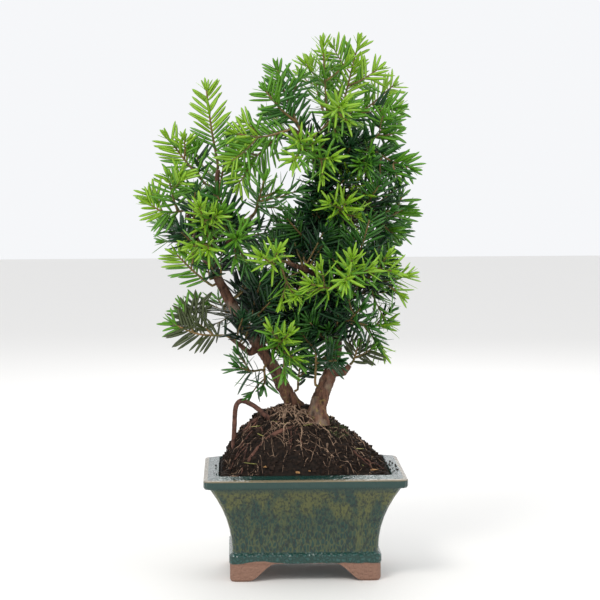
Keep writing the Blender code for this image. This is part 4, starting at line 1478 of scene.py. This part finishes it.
# %% [markdown]
# ## Glaze of the pot
# The pot is stoneware. Its glaze ran down in the kiln, so olive streaks and veins cross a dark teal
# body. The lip is plain teal with a thin brown edge, the ledge has small beads, and the feet are bare
# clay. The CAD pot already has the right shape, so it keeps its mesh and only gets this finish.
# Cutting it up for four materials would need new edges. Instead the height decides, with a slight
# wave where the glaze stops.

# %% Colours and heights of the glaze
TEAL = (0.008, 0.042, 0.033)
OLIVE_GLAZE = (0.098, 0.108, 0.030)
LIP_TEAL = (0.010, 0.042, 0.035)
DARK_TEAL = (0.004, 0.014, 0.014)
BEAD_TEAL = (0.022, 0.085, 0.075)
CLAY = (0.300, 0.165, 0.110)
EDGE_BROWN = (0.330, 0.250, 0.150)
CLAY_DARK = (0.20, 0.105, 0.075)

# Heights on the pot in metres, between which one finish gives way to the next
FEET_BARE = (0.0142, 0.0136)
LEDGE_TOP = (0.0222, 0.0208)
LIP_FOOT = (0.0675, 0.0722)
LIP_EDGE, LIP_EDGE_HALF = 0.0781, 0.0006
OLIVE_RISE = (0.024, 0.070)
VEIN_FADE = (0.062, 0.030)
WAVE_HEIGHT = 0.0016

# How often each pattern repeats in a metre, across and up where they differ
STREAKS = (95.0, 95.0, 11.0)
VEINS = (430.0, 430.0, 190.0)
FLECKS = (620.0, 620.0, 210.0)
BEADS, WAVES, CLAY_GRAIN, SWELLS = 340.0, 38.0, 420.0, 120.0

# %% Streaks, veins and flecks of the body
STREAK_DETAIL, STREAK_ROUGHNESS = 6.0, 0.65
OLIVE_SHIFT = (-0.12, 0.08)
OLIVE_FROM = (0.45, 0.58)
VEIN_SHARE = (0.10, 0.60)
FLECK_DETAIL, FLECK_ROUGHNESS = 5.0, 0.6
FLECK_FROM, FLECK_SHARE = (0.47, 0.60), (0.0, 0.78)


def streaked_body(graph, height, veins):
    streaks = graph.noise(1.0, STREAK_DETAIL, graph.scaled(STREAKS), STREAK_ROUGHNESS)
    upward = graph.between(height, *OLIVE_RISE, *OLIVE_SHIFT)
    olive = graph.between(graph.maths("ADD", streaks, upward), *OLIVE_FROM)
    body = graph.mix(olive, TEAL, OLIVE_GLAZE)
    vein_share = graph.maths("MULTIPLY", graph.between(veins, 0.0, 1.0, 1.0, 0.0),
                             graph.between(height, *VEIN_FADE, *VEIN_SHARE))
    veined = graph.mix(vein_share, body, OLIVE_GLAZE)
    flecks = graph.noise(1.0, FLECK_DETAIL, graph.scaled(FLECKS), FLECK_ROUGHNESS)
    return graph.mix(graph.between(flecks, *FLECK_FROM, *FLECK_SHARE), veined, DARK_TEAL)


# %% Lip, ledge and feet
EDGE_SHARE = 0.6
WAVE_DETAIL, WAVE_FROM = 2.0, (0.3, 0.7)


def lip_and_ledge(graph, height, body, beads, on_ledge):
    lipped = graph.mix(graph.between(height, *LIP_FOOT), body, LIP_TEAL)
    edge = graph.maths("COMPARE", height, LIP_EDGE)
    edge.node.inputs[2].default_value = LIP_EDGE_HALF
    edged = graph.mix(graph.maths("MULTIPLY", edge, EDGE_SHARE), lipped, EDGE_BROWN)
    return graph.mix(on_ledge, edged, graph.mix(beads, TEAL, BEAD_TEAL))


def bare_feet(graph, height):
    """Share of bare clay, with a wavy line where the glaze stops."""
    wave = graph.between(graph.noise(WAVES, WAVE_DETAIL), *WAVE_FROM, -WAVE_HEIGHT, WAVE_HEIGHT)
    return graph.between(graph.maths("ADD", height, wave), *FEET_BARE)


# %% Glaze the pot
GLAZE_GLOSS, CLAY_DULL = 0.09, 0.8
GLAZE_ROUGHNESS, GLAZE_SPECULAR = 0.16, 0.55
VEIN_EDGE, BEAD_EDGE = (0.02, 0.20), (0.05, 0.35)
CLAY_DETAIL, SWELL_DETAIL = 4.0, 3.0
BEAD_BUMP, SWELL_BUMP, VEIN_BUMP = 0.8, 0.8, 0.25
GLAZE_BUMP, GLAZE_BUMP_STRENGTH = 0.0010, 0.55


def glaze_material():
    """Streaks and veins on the body, plain teal on the lip, beads on the ledge, clay on the feet."""
    material = new_material("pot_glaze", GLAZE_ROUGHNESS, GLAZE_SPECULAR)
    graph = Graph(material)
    height = graph.height()
    veins = graph.between(graph.cells(1.0, graph.scaled(VEINS)), *VEIN_EDGE)
    beads = graph.between(graph.cells(BEADS), *BEAD_EDGE)
    on_ledge = graph.between(height, *LEDGE_TOP)
    glazed = lip_and_ledge(graph, height, streaked_body(graph, height, veins), beads, on_ledge)
    bare = bare_feet(graph, height)
    clay = graph.mix(graph.noise(CLAY_GRAIN, CLAY_DETAIL), CLAY, CLAY_DARK)
    graph.colour(graph.mix(bare, glazed, clay))
    graph.roughness(graph.between(bare, 0.0, 1.0, GLAZE_GLOSS, CLAY_DULL))
    beading = graph.maths("MULTIPLY", graph.maths("MULTIPLY", beads, on_ledge), BEAD_BUMP)
    swell = graph.maths("ADD", graph.maths("MULTIPLY", graph.noise(SWELLS, SWELL_DETAIL), SWELL_BUMP),
                        graph.maths("MULTIPLY", veins, VEIN_BUMP))
    graph.bump(graph.maths("ADD", swell, beading), GLAZE_BUMP, GLAZE_BUMP_STRENGTH)
    return material


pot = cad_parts["pot"]
glaze = glaze_material()
if pot.data.materials:
    pot.data.materials[0] = glaze
else:
    pot.data.materials.append(glaze)
print("glaze nodes:", len(glaze.node_tree.nodes))
